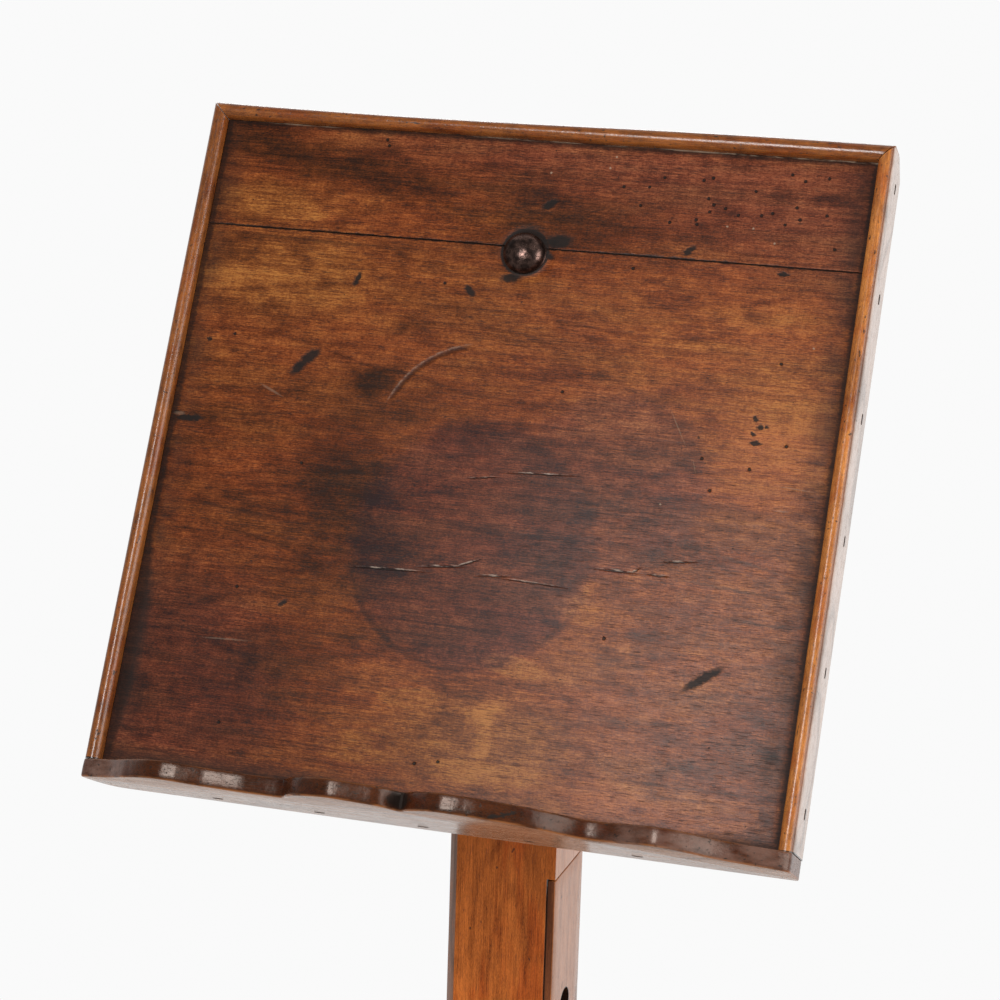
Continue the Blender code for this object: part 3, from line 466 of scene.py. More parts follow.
def plain_wood(
    name, pale, deep, turn, roughness=0.30, rings=7.0, vary=True, ior=1.25, toned=(), edge=None, lumps=0.0,
    start=-0.17, flecks=0.0, grain=1.0, floor_dirt=False, stains=(), joint=None, holes=(), sheen_stretches=(),
):
    """Waxed wood with grain, pores, rubbed edges, a little dirt and painted shade in its creases.

    toned lists faces that have their own colour, each as (direction, colour, roughness): wood of another tone
    on some, painted sheen on some and painted shade on others. Edge is the colour of rubbed edges with the
    piece's thickness.
    Lumps is the depth in millimetres of a hand-worn unevenness, and flecks the strength of small dirt. Stains
    are dark marks on X and Y, a painted shadow among them, joint is the axis and the level of a dirty joint,
    holes are the Y and Z of holes with insides painted dark as shade, and sheen_stretches lists the stretches
    along X painted grey as sheen.
    """
    colours = bpy.context.scene.stand_colours
    finish = Finish(name)
    place = finish.vector("MULTIPLY", finish.place(turn, vary), (grain, 1.0, 1.0))
    streaks, fibres, dashes, mottle, lines, pores = wood_grain(finish, place, rings)
    broad = finish.ramp(finish.noise(place, (0.006, 0.02, 0.02), 3.0), 0.3, 0.7)
    tone = weighted(
        finish, start, (streaks, 0.32), (fibres, 0.38), (dashes, 0.34), (mottle, 0.20), (broad, 0.16),
        (lines, -0.18),
    )
    middle = [(low + high) * 0.48 for low, high in zip(pale, deep)]
    shade = finish.shades(tone, ((0.0, deep), (0.45, middle), (1.0, pale)))
    reddened = finish.ramp(finish.noise(place, (0.012, 0.07, 0.07), 3.0, 0.6), 0.46, 0.66)
    shade = finish.mix(reddened, shade, finish.mix(1.0, shade, (0.86, 0.68, 0.62), "MULTIPLY"))
    shade = finish.mix(finish.times(pores, 0.50), shade, deep)

    pointed = finish.add("ShaderNodeNewGeometry", {}, "Pointiness")
    rubbed = finish.ramp(pointed, 0.52, 0.59, 0.0, 0.6)
    if edge is not None:
        level = finish.level(1)
        upper_edge = finish.ramp(level, edge[1] - 1.6, edge[1] - 0.2, 0.0, 0.4)
        rubbed = most(finish, finish.ramp(level, 1.6, 0.2), upper_edge)
    rubbed = finish.times(rubbed, finish.ramp(streaks, -0.1, 0.8))
    shade = finish.mix(rubbed, shade, pale if edge is None else edge[0])

    all_faced = 0.0
    # Faces turned one way take their own colour: another tone of wood on some, painted sheen on some, painted
    # shade on others
    for facing, face_colour, polish in toned:
        normal = finish.add("ShaderNodeTexCoord", {}, "Normal")
        faced = finish.ramp(finish.vector("DOT_PRODUCT", normal, facing), 0.80, 0.97)
        worn = finish.mix(tone, [value * 0.50 for value in face_colour], [value * 1.20 for value in face_colour])
        worn = finish.mix(finish.times(lines, 0.35), worn, [value * 0.25 for value in face_colour])
        shade = finish.mix(finish.times(faced, finish.ramp(mottle, -0.6, 0.5)), shade, worn)
        roughness = finish.ramp(faced, 0.0, 1.0, roughness, polish)
        all_faced = most(finish, all_faced, faced)
    # Stretches along X painted grey as a sheen
    if sheen_stretches:
        spot = finish.place()
        grey_sheen = 0.0
        for begin, full, strength in sheen_stretches:
            stretch = finish.ramp(finish.split(spot)[0], begin, full, 0.0, strength)
            grey_sheen = most(finish, grey_sheen, stretch)
        patches = finish.ramp(finish.noise(spot, (0.05, 0.12, 0.05), 3.0, 0.6), 0.26, 0.70)
        grey_sheen = finish.times(finish.times(grey_sheen, patches), finish.minus(1.0, all_faced))
        shade = finish.mix(grey_sheen, shade, colours.ledge_grey_sheen)

    # Concave creases darkened: dirt, and painted shade
    crease_dirt_and_shade = finish.ramp(pointed, 0.48, 0.42, 0.0, 0.8)
    shade = finish.mix(crease_dirt_and_shade, shade, colours.grime_and_shade)
    spots = finish.ramp(finish.noise(place, (0.13, 0.17, 0.17), 2.0), 0.70, 0.76)
    shade = finish.mix(finish.times(spots, 0.75), shade, colours.grime_and_shade)
    if flecks:
        small = finish.noise(place, (0.22 / grain, 0.45, 0.45), 3.0, 0.6)
        small = finish.ramp(small, 0.63, 0.69, 0.0, flecks)
        small = finish.times(small, finish.minus(1.0, all_faced))
        shade = finish.mix(small, shade, colours.grime_and_shade)
        spots = most(finish, spots, small)
    # Dark stains on X and Y; on the ledge the first is a painted shadow in a notch
    if stains:
        spot = finish.place()
        push = finish.noise(spot, (0.3, 0.3, 0.3), 3.0, output=1)
        push = finish.vector("SUBTRACT", push, (0.5, 0.5, 0.5))
        spot = finish.vector("MULTIPLY_ADD", push, (5.0, 3.0, 0.0), spot)
        stained = finish.ramp(finish.nearest(spot, stains), 1.3, 0.7, 0.0, 0.9)
        shade = finish.mix(stained, shade, colours.grime_and_shade)
        spots = most(finish, spots, finish.times(stained, 0.6))
    if joint is not None:
        axis, at = joint
        end, full = [at + width for width in JOINT_DIRT]
        shade = finish.mix(finish.ramp(finish.level(axis), end, full, 0.0, 0.95), shade, colours.grime_and_shade)
    # Insides of the holes painted dark as shade
    if holes:
        section = finish.add("ShaderNodeCombineXYZ", {0: finish.level(1), 1: finish.level(2), 2: 0.0})
        from_hole = finish.nearest_point(section, holes)
        hole_shade = finish.ramp(from_hole, PEG_HOLE_RADIUS + 1.0, PEG_HOLE_RADIUS, 0.0, 0.88)
        shade = finish.mix(hole_shade, shade, colours.grime_and_shade)
    if floor_dirt:
        near_floor = finish.ramp(finish.level(2), SCUFF_HEIGHT, 0.0)
        scuffed = finish.times(near_floor, finish.ramp(mottle, 0.1, 0.8))
        shade = finish.mix(finish.times(scuffed, 0.6), shade, colours.grime_and_shade)

    gloss = weighted(finish, roughness, (mottle, -0.06), (streaks, 0.06), (pores, 0.14), (spots, 0.2))
    relief = weighted(
        finish, 0.0, (fibres, 0.004), (dashes, 0.003), (pores, -0.007), (lines, -0.006), (mottle, 0.01),
        (spots, -0.03),
    )
    if toned:
        furrows = weighted(finish, 0.0, (lines, -0.025), (fibres, 0.008))
        relief = finish.math("MULTIPLY_ADD", furrows, all_faced, relief)
    if lumps:
        uneven = finish.noise(place, (0.05, 0.09, 0.09), 2.0)
        dents = finish.noise(place, (0.16, 0.30, 0.30), 2.0)
        relief = weighted(finish, relief, (uneven, lumps), (dents, lumps * 0.4))
    return finish.done(shade, gloss, relief, ior=ior)


def board_wood(name):
    """The board's face: two planks with stains, marks, cracks, worm holes, edge darkening and painted shade
    and highlights.
    """
    colours = bpy.context.scene.stand_colours
    finish = Finish(name)
    spot = finish.place()
    across, up, out = finish.split(spot)
    front = finish.ramp(out, *BOARD_FRONT)

    seam_line = finish.math("MULTIPLY_ADD", across, SEAM_RISE, SEAM_UP * PER_MM)
    above_seam = finish.minus(up, seam_line)
    upper = finish.ramp(above_seam, -0.1, 0.1)
    shifted = finish.vector("ADD", spot, finish.scaled(UPPER_SHIFT, upper))
    streaks, fibres, dashes, mottle, lines, pores = wood_grain(finish, shifted)
    broad = finish.ramp(finish.noise(shifted, (0.008, 0.014, 0.014), 3.0, 0.55), 0.3, 0.7)

    face = finish.vector("MULTIPLY", spot, (1.0, 1.0, 0.0))

    def unsettled(scale, reach_mm, detail):
        """The face's place pushed about by noise."""
        push = finish.noise(spot, scale, detail, 0.6, output=1)
        push = finish.vector("SUBTRACT", push, (0.5, 0.5, 0.5))
        return finish.vector("ADD", face, finish.vector("MULTIPLY", push, reach_mm))

    cloud_place = unsettled((0.06, 0.09, 0.0), (26.0, 20.0, 0.0), 4.0)
    mark_place = unsettled((0.28, 0.40, 0.0), (5.0, 4.0, 0.0), 3.0)
    hole_place = unsettled((0.6, 0.9, 0.0), (1.0, 0.8, 0.0), 1.0)

    def away_from(place, centre):
        return finish.vector("DISTANCE", place, (centre[0], centre[1], 0))

    def disc(stain, edge):
        return finish.ramp(away_from(cloud_place, stain), stain[2] + edge, stain[2] - edge)

    # Tone, from the darkest stains to the palest patches
    blotches = finish.ramp(finish.noise(spot, (0.09, 0.12, 0.0), 5.0, 0.62), 0.34, 0.66)
    from_rim = finish.minus(away_from(mark_place, ROUND_STAIN), ROUND_STAIN[2] + 1.0)
    rim = finish.ramp(finish.math("ABSOLUTE", from_rim), 3.2, 0.4)
    rim = finish.times(rim, finish.ramp(up, 175.0, 125.0))
    rubs = finish.ramp(finish.noise(spot, (1.3, 0.10, 0.0), 3.0, 0.7), 0.34, 0.66)
    tone = weighted(
        finish, 0.02, (rubs, 0.10), (streaks, 0.12), (broad, 0.10), (fibres, 0.25), (dashes, 0.34),
        (mottle, 0.12), (lines, -0.12), (blotches, 0.16),
        (disc(ROUND_STAIN, 6.0), -0.20), (disc(SECOND_STAIN, 4.0), -0.11), (rim, -0.16),
    )
    for *cloud, strength in TONES:
        cloudy = finish.ramp(finish.nearest(cloud_place, (cloud,)), 1.35, 0.25)
        tone = finish.math("MULTIPLY_ADD", cloudy, strength, tone)
    smudges = finish.ramp(finish.noise(shifted, (0.024, 0.050, 0.050), 6.0, 0.64), 0.50, 0.68)
    worn = finish.ramp(finish.nearest(mark_place, WORN_PATCHES), 1.25, 0.80)
    worn = finish.times(worn, finish.ramp(mottle, -0.3, 0.6))
    tone = weighted(finish, tone, (smudges, -0.20), (worn, 0.12))
    shade = finish.shades(tone, (
        (0.0, colours.board_black), (0.25, colours.board_deep), (0.5, colours.board_mid),
        (0.75, colours.board_pale), (1.0, colours.board_bright),
    ))

    # Warmer places, and a bluish film painted partly as sheen
    amber = finish.ramp(finish.noise(shifted, (0.014, 0.06, 0.06), 3.0, 0.6), 0.3, 0.7, 0.0, 0.6)
    golden = finish.ramp(finish.nearest(cloud_place, GOLDEN), 1.2, 0.4, 0.0, 0.8)
    amber = most(finish, amber, golden, finish.times(worn, 0.7))
    warmth = finish.mix(amber, (1.07, 0.90, 0.84), (1.0, 1.10, 0.95))
    shade = finish.mix(1.0, shade, warmth, "MULTIPLY")
    # Bluish tint on the stains, the top and the lower left: a dusty film, partly painted sheen
    violet_film_and_sheen = most(
        finish, finish.ramp(finish.math("MULTIPLY_ADD", across, 0.25, up), 385.0, 460.0),
        disc(ROUND_STAIN, 9.0), finish.times(disc(SECOND_STAIN, 9.0), 0.7),
        finish.ramp(finish.nearest(cloud_place, (VIOLET_FILM_AND_SHEEN,)), 1.2, 0.4),
    )
    shade = finish.mix(violet_film_and_sheen, shade, finish.mix(1.0, shade, (0.94, 1.02, 1.75), "MULTIPLY"))
    shade = finish.mix(finish.times(pores, 0.60), shade, colours.board_black)

    # Dark marks, dirt along the seam, darkening along the edging, and a painted shadow under the top strip
    hairs = finish.ramp(finish.nearest(mark_place, DARK_LINES), 1.5, 0.2)
    shade = finish.mix(finish.times(hairs, 0.55), shade, colours.board_black)
    marks = finish.ramp(finish.nearest(mark_place, BLACK_MARKS), 1.35, 0.65)
    worm = finish.ramp(finish.nearest_point(hole_place, WORM_HOLES), 1.40, 0.75)
    bolt_ring = finish.ramp(away_from(hole_place, (-1.5, BOLT_UP * PER_MM + 1.3)), 17.2, 15.8)
    seam_noise = finish.noise(spot, (0.09, 0.3, 0.0), 3.0, 0.7)
    seam_width = finish.math("MAXIMUM", finish.math("MULTIPLY_ADD", seam_noise, 3.4, -1.1), 0.5)
    seam_share = finish.math("DIVIDE", finish.math("ABSOLUTE", above_seam), seam_width)
    seam_dirt = finish.ramp(seam_share, 1.6, 0.6)
    flecks = finish.ramp(finish.noise(spot, (0.30, 0.38, 0.0), 1.0), 0.745, 0.79, 0.0, 0.8)

    mark_across, mark_up, _ = finish.split(mark_place)
    patchy = finish.ramp(finish.noise(spot, (0.035, 0.035, 0.0), 4.0, 0.65), 0.32, 0.66, 0.25, 1.0)
    left_band = finish.ramp(up, 110.0, 170.0, 12.0, 4.5)
    left_band = finish.math("MINIMUM", left_band, finish.ramp(up, 20.0, 70.0, 6.0, 12.0))
    left_foot = finish.ramp(across, -120.0, 0.0, 16.0, 7.0)
    foot_band = most(finish, left_foot, finish.ramp(across, 90.0, 190.0, 0.0, 10.0))
    from_left = finish.minus(mark_across, PLANK_LOW.x * PER_MM)
    from_right = finish.minus(PLANK_HIGH.x * PER_MM, mark_across)
    from_top = finish.minus(UPPER_HIGH.y * PER_MM, mark_up)
    from_foot = finish.minus(mark_up, PLANK_LOW.y * PER_MM)
    # Darker along the left strip
    left_dark = finish.ramp(finish.math("DIVIDE", from_left, left_band), 1.5, 0.6, 0.0, 0.88)
    right_dirt = finish.ramp(from_right, 5.5, 1.5, 0.0, 0.9)
    # Painted shadow just under the top strip
    top_shadow = finish.ramp(from_top, 5.0, 1.0, 0.0, 0.85)
    foot_dirt = finish.ramp(finish.math("DIVIDE", from_foot, foot_band), 1.0, 0.15, 0.0, 0.8)
    nearest_side = finish.math("MINIMUM", from_left, from_right)
    soft_dirt = finish.times(finish.ramp(nearest_side, 27.0, 1.0, 0.0, 0.75), patchy)
    edge_dirt_and_shadow = most(finish, left_dark, right_dirt, top_shadow, foot_dirt, soft_dirt)
    dark = finish.times(most(finish, marks, worm, bolt_ring, seam_dirt, flecks, edge_dirt_and_shadow), 0.94)
    shade = finish.mix(finish.times(dark, front), shade, colours.grime_and_shade)

    # The arc scratch and the cracks with painted highlights and shadows, pale scratches and dust
    broken = finish.ramp(finish.noise(spot, (0.12, 0.5, 0.0), 2.0), 0.42, 0.60)
    arc_side = finish.minus(away_from(hole_place, ARC_SCRATCH), ARC_SCRATCH[2])
    in_arc = finish.ramp(finish.nearest(cloud_place, (ARC_STRETCH,)), 1.05, 0.6)
    groove = finish.ramp(finish.math("ABSOLUTE", finish.math("ADD", arc_side, 1.4)), 2.8, 0.3)
    # Painted shade along one side of the arc scratch
    arc_shade = finish.times(in_arc, groove)
    shade = finish.mix(finish.times(arc_shade, 0.7), shade, colours.board_black)
    # Painted highlight along the arc scratch's edge
    arc_highlight_line = finish.ramp(finish.math("ABSOLUTE", finish.minus(arc_side, 0.5)), 0.9, 0.1)
    arc_highlight = finish.times(finish.times(in_arc, arc_highlight_line), broken)
    # Pale crack edges: faded fibres and a painted highlight
    crack_edges_and_highlight = finish.times(finish.ramp(finish.nearest(hole_place, CRACKS), 1.25, 0.5), broken)
    # Painted shadow just below each crack
    under_crack = finish.nearest(finish.vector("ADD", hole_place, (0.0, 0.7, 0.0)), CRACKS)
    crack_shadow = finish.ramp(under_crack, 1.6, 0.5)
    shade = finish.mix(finish.times(crack_shadow, 0.85), shade, colours.grime_and_shade)
    scratches = finish.ramp(finish.nearest(hole_place, PALE_SCRATCHES), 1.5, 0.4)
    specks = finish.ramp(finish.nearest_point(hole_place, PALE_SPECKS), 1.0, 0.4)
    dust_line = finish.ramp(finish.minus(UPPER_HIGH.y * PER_MM, up), 1.5, 0.6)
    gathered = finish.ramp(finish.noise(spot, (0.016, 0.2, 0.0), 5.0, 0.75), 0.46, 0.66, 0.0, 0.8)
    at_right = finish.times(finish.ramp(across, 60.0, 130.0, 0.0, 0.6), broken)
    # Dust, pale scratches and specks, with the painted highlights of the arc scratch and the cracks
    pale = most(
        finish, finish.times(arc_highlight, 0.35), finish.times(crack_edges_and_highlight, 0.65), finish.times(scratches, 0.3),
        finish.times(specks, 0.9), finish.times(dust_line, most(finish, gathered, at_right)),
    )
    shade = finish.mix(finish.times(finish.times(pale, front), 0.75), shade, colours.dust)
    shade = finish.mix(finish.times(crack_edges_and_highlight, 0.25), shade, colours.raw)

    gloss = weighted(finish, 0.29, (mottle, -0.05), (pores, 0.10), (dark, 0.15), (pale, 0.2))
    relief = weighted(
        finish, 0.0, (fibres, 0.004), (dashes, 0.003), (mottle, 0.014), (pores, -0.007), (lines, -0.008),
        (worm, -0.5), (marks, -0.04), (seam_dirt, -0.15), (arc_shade, -0.12), (crack_shadow, -0.25),
        (scratches, -0.05),
    )
    return finish.done(shade, gloss, relief, ior=1.20)


def dark_iron(name):
    """Forged iron, blackened and rubbed bright on its high places."""
    colours = bpy.context.scene.stand_colours
    finish = Finish(name)
    place = finish.place()
    cloudy = finish.ramp(finish.noise(place, (0.22, 0.22, 0.22), 4.0, 0.6), 0.35, 0.68)
    pits = finish.ramp(finish.noise(place, (0.9, 0.9, 0.9), 2.0), 0.56, 0.68)
    pointed = finish.ramp(finish.add("ShaderNodeNewGeometry", {}, "Pointiness"), 0.5, 0.58)
    bright = finish.math("MAXIMUM", finish.times(cloudy, 0.75), pointed)
    shade = finish.mix(bright, colours.iron_deep, colours.iron)
    shade = finish.mix(finish.times(pits, 0.7), shade, colours.iron_deep)
    gloss = weighted(finish, 0.30, (pits, 0.20), (cloudy, -0.06))
    relief = weighted(finish, 0.0, (pits, -0.05), (cloudy, 0.03))
    return finish.done(shade, gloss, relief, metallic=0.85)


# Meshes

def cut(bm, point, normal, drop_outside=False):
    """Cut every face along a plane."""
    everything = [*bm.verts, *bm.edges, *bm.faces]
    return bmesh.ops.bisect_plane(
        bm, geom=everything, dist=TOUCHING, plane_co=point, plane_no=normal, clear_outer=drop_outside,
    )


def divide(bm, axis, positions):
    """Cut every face across an axis at the given positions."""
    for position in positions:
        normal = Vector((0, 0, 0))
        normal[axis] = 1.0
        cut(bm, normal * position, normal)


def ripple(place):
    """Smooth noise from 0 to 1."""
    return 0.5 + 0.5 * noise.noise(place)


def neighbours(points):
    """Each point of a closed outline with the one before and the one after it."""
    return zip(points[-1:] + points[:-1], points, points[1:] + points[:1])


def steps(low, high, spacing):
    """Even places between low and high, ends left out."""
    count = max(1, round((high - low) / spacing))
    return [low + (high - low) * index / count for index in range(1, count)]


def bench_copy(node, ease, cells, axes=Matrix()):
    """A frame node's shape in the given axes, with eased long edges and its faces divided into cells."""
    bm = bmesh.new()
    bm.from_mesh(NODES[node].data)
    bm.transform(axes.inverted())
    bmesh.ops.remove_doubles(bm, verts=bm.verts, dist=TOUCHING)
    bmesh.ops.dissolve_limit(bm, angle_limit=FLAT_ANGLE, verts=bm.verts, edges=bm.edges)
    sharp = []
    for edge in bm.edges:
        if edge.is_manifold and edge.calc_face_angle() > SHARP_ANGLE and edge.calc_length() > SHORTEST_EASED:
            sharp.append(edge)
    bmesh.ops.bevel(bm, geom=sharp, offset=ease, segments=2, profile=0.6, affect="EDGES", clamp_overlap=True)
    low, high = reach(node, axes)
    for axis, spacing in enumerate(cells):
        if spacing:
            divide(bm, axis, steps(low[axis], high[axis], spacing))
    return bm


def plane_by_hand(bm, depth, size):
    """Take a little off each face, unevenly, in hollows of the given size."""
    bm.normal_update()
    for vert in bm.verts:
        vert.co -= vert.normal * depth * ripple(vert.co / size)


def make_piece(name, bm, material, node, axes=Matrix()):
    """Turn a shape into an object that stands for a frame node and rides on its body."""
    bmesh.ops.recalc_face_normals(bm, faces=bm.faces)
    mesh = bpy.data.meshes.new(name)
    bm.to_mesh(mesh)
    bm.free()
    mesh.materials.append(material)
    mesh.shade_smooth()
    mesh.set_sharp_from_angle(angle=SHARP_ANGLE)
    piece = bpy.data.objects.new(name, mesh)
    bpy.context.scene.collection.objects.link(piece)
    piece.matrix_world = axes
    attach(piece, NODES[node]["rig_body"])
    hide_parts(node)


def dress(node, material, ease, cells, depth=0.0, hollow=0.03, axes=Matrix()):
    """A frame node's own shape with eased edges, planed by hand to the given depth."""
    bm = bench_copy(node, ease, cells, axes)
    if depth:
        plane_by_hand(bm, depth, hollow)
    make_piece(f"{node}_aged", bm, material, node, axes)


def turned(profile, sides):
    """A closed turning about Z from (radius, height) points that start and end on the axis."""
    bm = bmesh.new()
    points = [bm.verts.new((radius, 0, height)) for radius, height in profile]
    lines = [bm.edges.new(pair) for pair in zip(points, points[1:])]
    bmesh.ops.spin(
        bm, geom=points + lines, cent=(0, 0, 0), axis=(0, 0, 1), angle=math.tau, steps=sides, use_merge=True,
    )
    bmesh.ops.remove_doubles(bm, verts=bm.verts, dist=TOUCHING)
    return bm


def loft(rings):
    """Join rings of points, in order, into a skin with a face over each end."""
    bm = bmesh.new()
    made = [[bm.verts.new(point) for point in ring] for ring in rings]
    for first, second in zip(made, made[1:]):
        count = len(first)
        for index in range(count):
            after = (index + 1) % count
            bm.faces.new((first[index], first[after], second[after], second[index]))
    bm.faces.new(made[0])
    bm.faces.new(made[-1])
    return bm


def arc(centre, radii, start, end, count):
    """Points on an ellipse's arc, angles in degrees, both ends included."""
    points = []
    for index in range(count + 1):
        angle = math.radians(start + (end - start) * index / count)
        points.append((centre[0] + radii[0] * math.cos(angle), centre[1] + radii[1] * math.sin(angle)))
    return points


def outline_of(node, axes, level):
    """The longest closed outline of a frame node where its Y in the given axes equals level."""
    bm = bmesh.new()
    bm.from_mesh(NODES[node].data)
    bm.transform(axes.inverted())
    bmesh.ops.remove_doubles(bm, verts=bm.verts, dist=TOUCHING)
    beside = {}
    for item in cut(bm, (0, level, 0), (0, 1, 0))["geom_cut"]:
        if isinstance(item, bmesh.types.BMEdge):
            first, second = item.verts
            beside.setdefault(first, []).append(second)
            beside.setdefault(second, []).append(first)
    loops = []
    while beside:
        at = next(iter(beside))
        loop = []
        while at is not None:
            loop.append(Vector((at.co.x, at.co.z)))
            onward = beside.pop(at)
            at = next((vert for vert in onward if vert in beside), None)
        loops.append(loop)
    bm.free()
    return max(loops, key=len)


def even_loop(points, spacing):
    """A closed outline with its points an even distance apart."""
    run = points + points[:1]
    lengths = [(second - first).length for first, second in zip(run, run[1:])]
    total = sum(lengths)
    count = round(total / spacing)
    even = []
    index = 0
    passed = 0.0
    for number in range(count):
        wanted = total * number / count
        while passed + lengths[index] < wanted:
            passed += lengths[index]
            index += 1
        even.append(run[index].lerp(run[index + 1], (wanted - passed) / lengths[index]))
    return even


def soften(points, passes):
    """Round the corners of a closed outline."""
    for _ in range(passes):
        points = [before * 0.25 + point * 0.5 + after * 0.25 for before, point, after in neighbours(points)]
    return points


# Pieces

class STAND_OT_planks(bpy.types.Operator):
    """Lay the two planks of the board"""
    bl_idname = "stand.planks"
    bl_label = "Planks"
    bl_options = {"REGISTER", "UNDO"}

    def execute(self, context):
        sizes = context.scene.stand_sizes
        wood = board_wood("old board")
        skin = PLANK_HIGH.z - 0.1 * MM
        ring, ring_width = 0.0165, 0.0035
        cells = (0.008, 0.008, 0)
        near_bolt = steps(-0.022, 0.022, 0.002)
        waves_across, waves_up = 11, 17  # per metre
        for node in ("plank_lower", "plank_upper"):
            bm = bench_copy(node, sizes.board_ease, cells, DESK)
            divide(bm, 0, near_bolt)
            divide(bm, 1, [BOLT_UP + position for position in near_bolt])
            for vert in bm.verts:
                if vert.co.z < skin:
                    continue
                from_bolt = math.hypot(vert.co.x, vert.co.y - BOLT_UP)
                dent = max(0.0, 1.0 - abs(from_bolt - ring) / ring_width)
                hollow = ripple(Vector((vert.co.x * waves_across, vert.co.y * waves_up, 0.3)))
                vert.co.z -= sizes.board_hollow * hollow + sizes.bolt_dent * dent
            make_piece(f"{node}_aged", bm, wood, node, DESK)
        return {"FINISHED"}


class STAND_OT_edging(bpy.types.Operator):
    """Run the half-round strips round the board"""
    bl_idname = "stand.edging"
    bl_label = "Edging"
    bl_options = {"REGISTER", "UNDO"}

    def execute(self, context):
        sizes, colours = context.scene.stand_sizes, context.scene.stand_colours
        foot, head = STRIP_LOW.y, STRIP_HIGH.y
        left, right = STRIP_LOW.x, DESK_RIGHT
        up, aside = Vector((0, 1, 0)), Vector((1, 0, 0))
        red, amber = (colours.edging_red, colours.edging_red_deep), (colours.edging, colours.edging_deep)
        # The right strip's outer side is faded, and painted pale for its sheen
        dull, bleached_sheen = (colours.edging_side_and_flank_shade, 0.50), (colours.edging_bleached_sheen, 0.10)
        on_ledge = (1, foot * PER_MM)
        rise, width = head - foot, right - left
        strips = (
            ("left", Vector((left, foot, 0)), aside, up, rise, GRAIN_Y, red, 0.22, dull, on_ledge),
            ("right", Vector((right, foot, 0)), -aside, up, rise, GRAIN_Y, amber, 0.25, bleached_sheen, on_ledge),
            ("top", Vector((left, head, 0)), -up, aside, width, GRAIN_X, red, 0.20, dull, None),
        )
        for side, corner, inward, along, run, turn, tones, polish, outer, joint in strips:
            node = f"edge_strip_{side}"
            name = f"{node}_aged"
            # Painted shade on each bead's outer flank, where it turns away from the light
            flank = (Vector((0, 0, 0.43)) - inward * 0.9, colours.edging_side_and_flank_shade, 0.25)
            wood = plain_wood(
                name, *tones, turn, polish, 4.0, ior=1.42, toned=(flank, (-inward, *outer)), lumps=0.15,
                flecks=0.85, grain=3.0, joint=joint,
            )
            bm = self.strip(corner, inward, along, run, sizes)
            self.wear_corner(bm, right, head - sizes.worn_corner)
            make_piece(name, bm, wood, node, DESK)
        return {"FINISHED"}

    def strip(self, corner, inward, along, run, sizes):
        """One strip from its foot or left mitre to its other mitre, with a worn and wandering bead."""
        mitred_twice = along.x > 0
        thick = STRIP_HIGH.x - STRIP_LOW.x
        high = STRIP_HIGH.z
        bend = thick / 2
        spacing = 0.005
        waves = 28.0  # per metre
        bow_start, bow_length = 0.29, 1.1  # as shares of the strip
        outer = [(0.0, level) for level in (0.0, 0.008, 0.016, 0.024)]
        crown = arc((bend, high - bend), (bend, bend), 180, 0, 14)
        inner = [(thick, 0.020), (thick, 0.0)]
        rings = []
        for station in [0.0, *steps(0.0, 1.0, spacing / run), 1.0]:
            bow = 0.0
            if mitred_twice:
                bow = -math.cos((station - bow_start) * math.tau / bow_length) * sizes.top_bow
            ring = []
            for inset, level in outer + crown + inner:
                start = inset + FIT_GAP if mitred_twice else 0.0
                end = run - inset - FIT_GAP
                point = corner + along * (start + (end - start) * station) + inward * inset
                point.z = level
                spot = point * waves
                slack = ripple(spot + Vector((7, 3, 1)))
                from_middle = (bend - inset) / bend
                point.z -= sizes.bead_wear * ripple(spot) * (level / high) ** 3
                point += inward * from_middle * sizes.bead_wear * 0.4 * slack
                point -= inward * bow * (1 - inset / thick)
                ring.append(point)
            rings.append(ring)
        return loft(rings)

    def wear_corner(self, bm, right, up):
        """Cut the worn rear corner off, where the strip reaches it."""
        cut(bm, (right, up, 0), Vector((1, 1, -0.8)).normalized(), drop_outside=True)
        bmesh.ops.holes_fill(bm, edges=[edge for edge in bm.edges if edge.is_boundary])


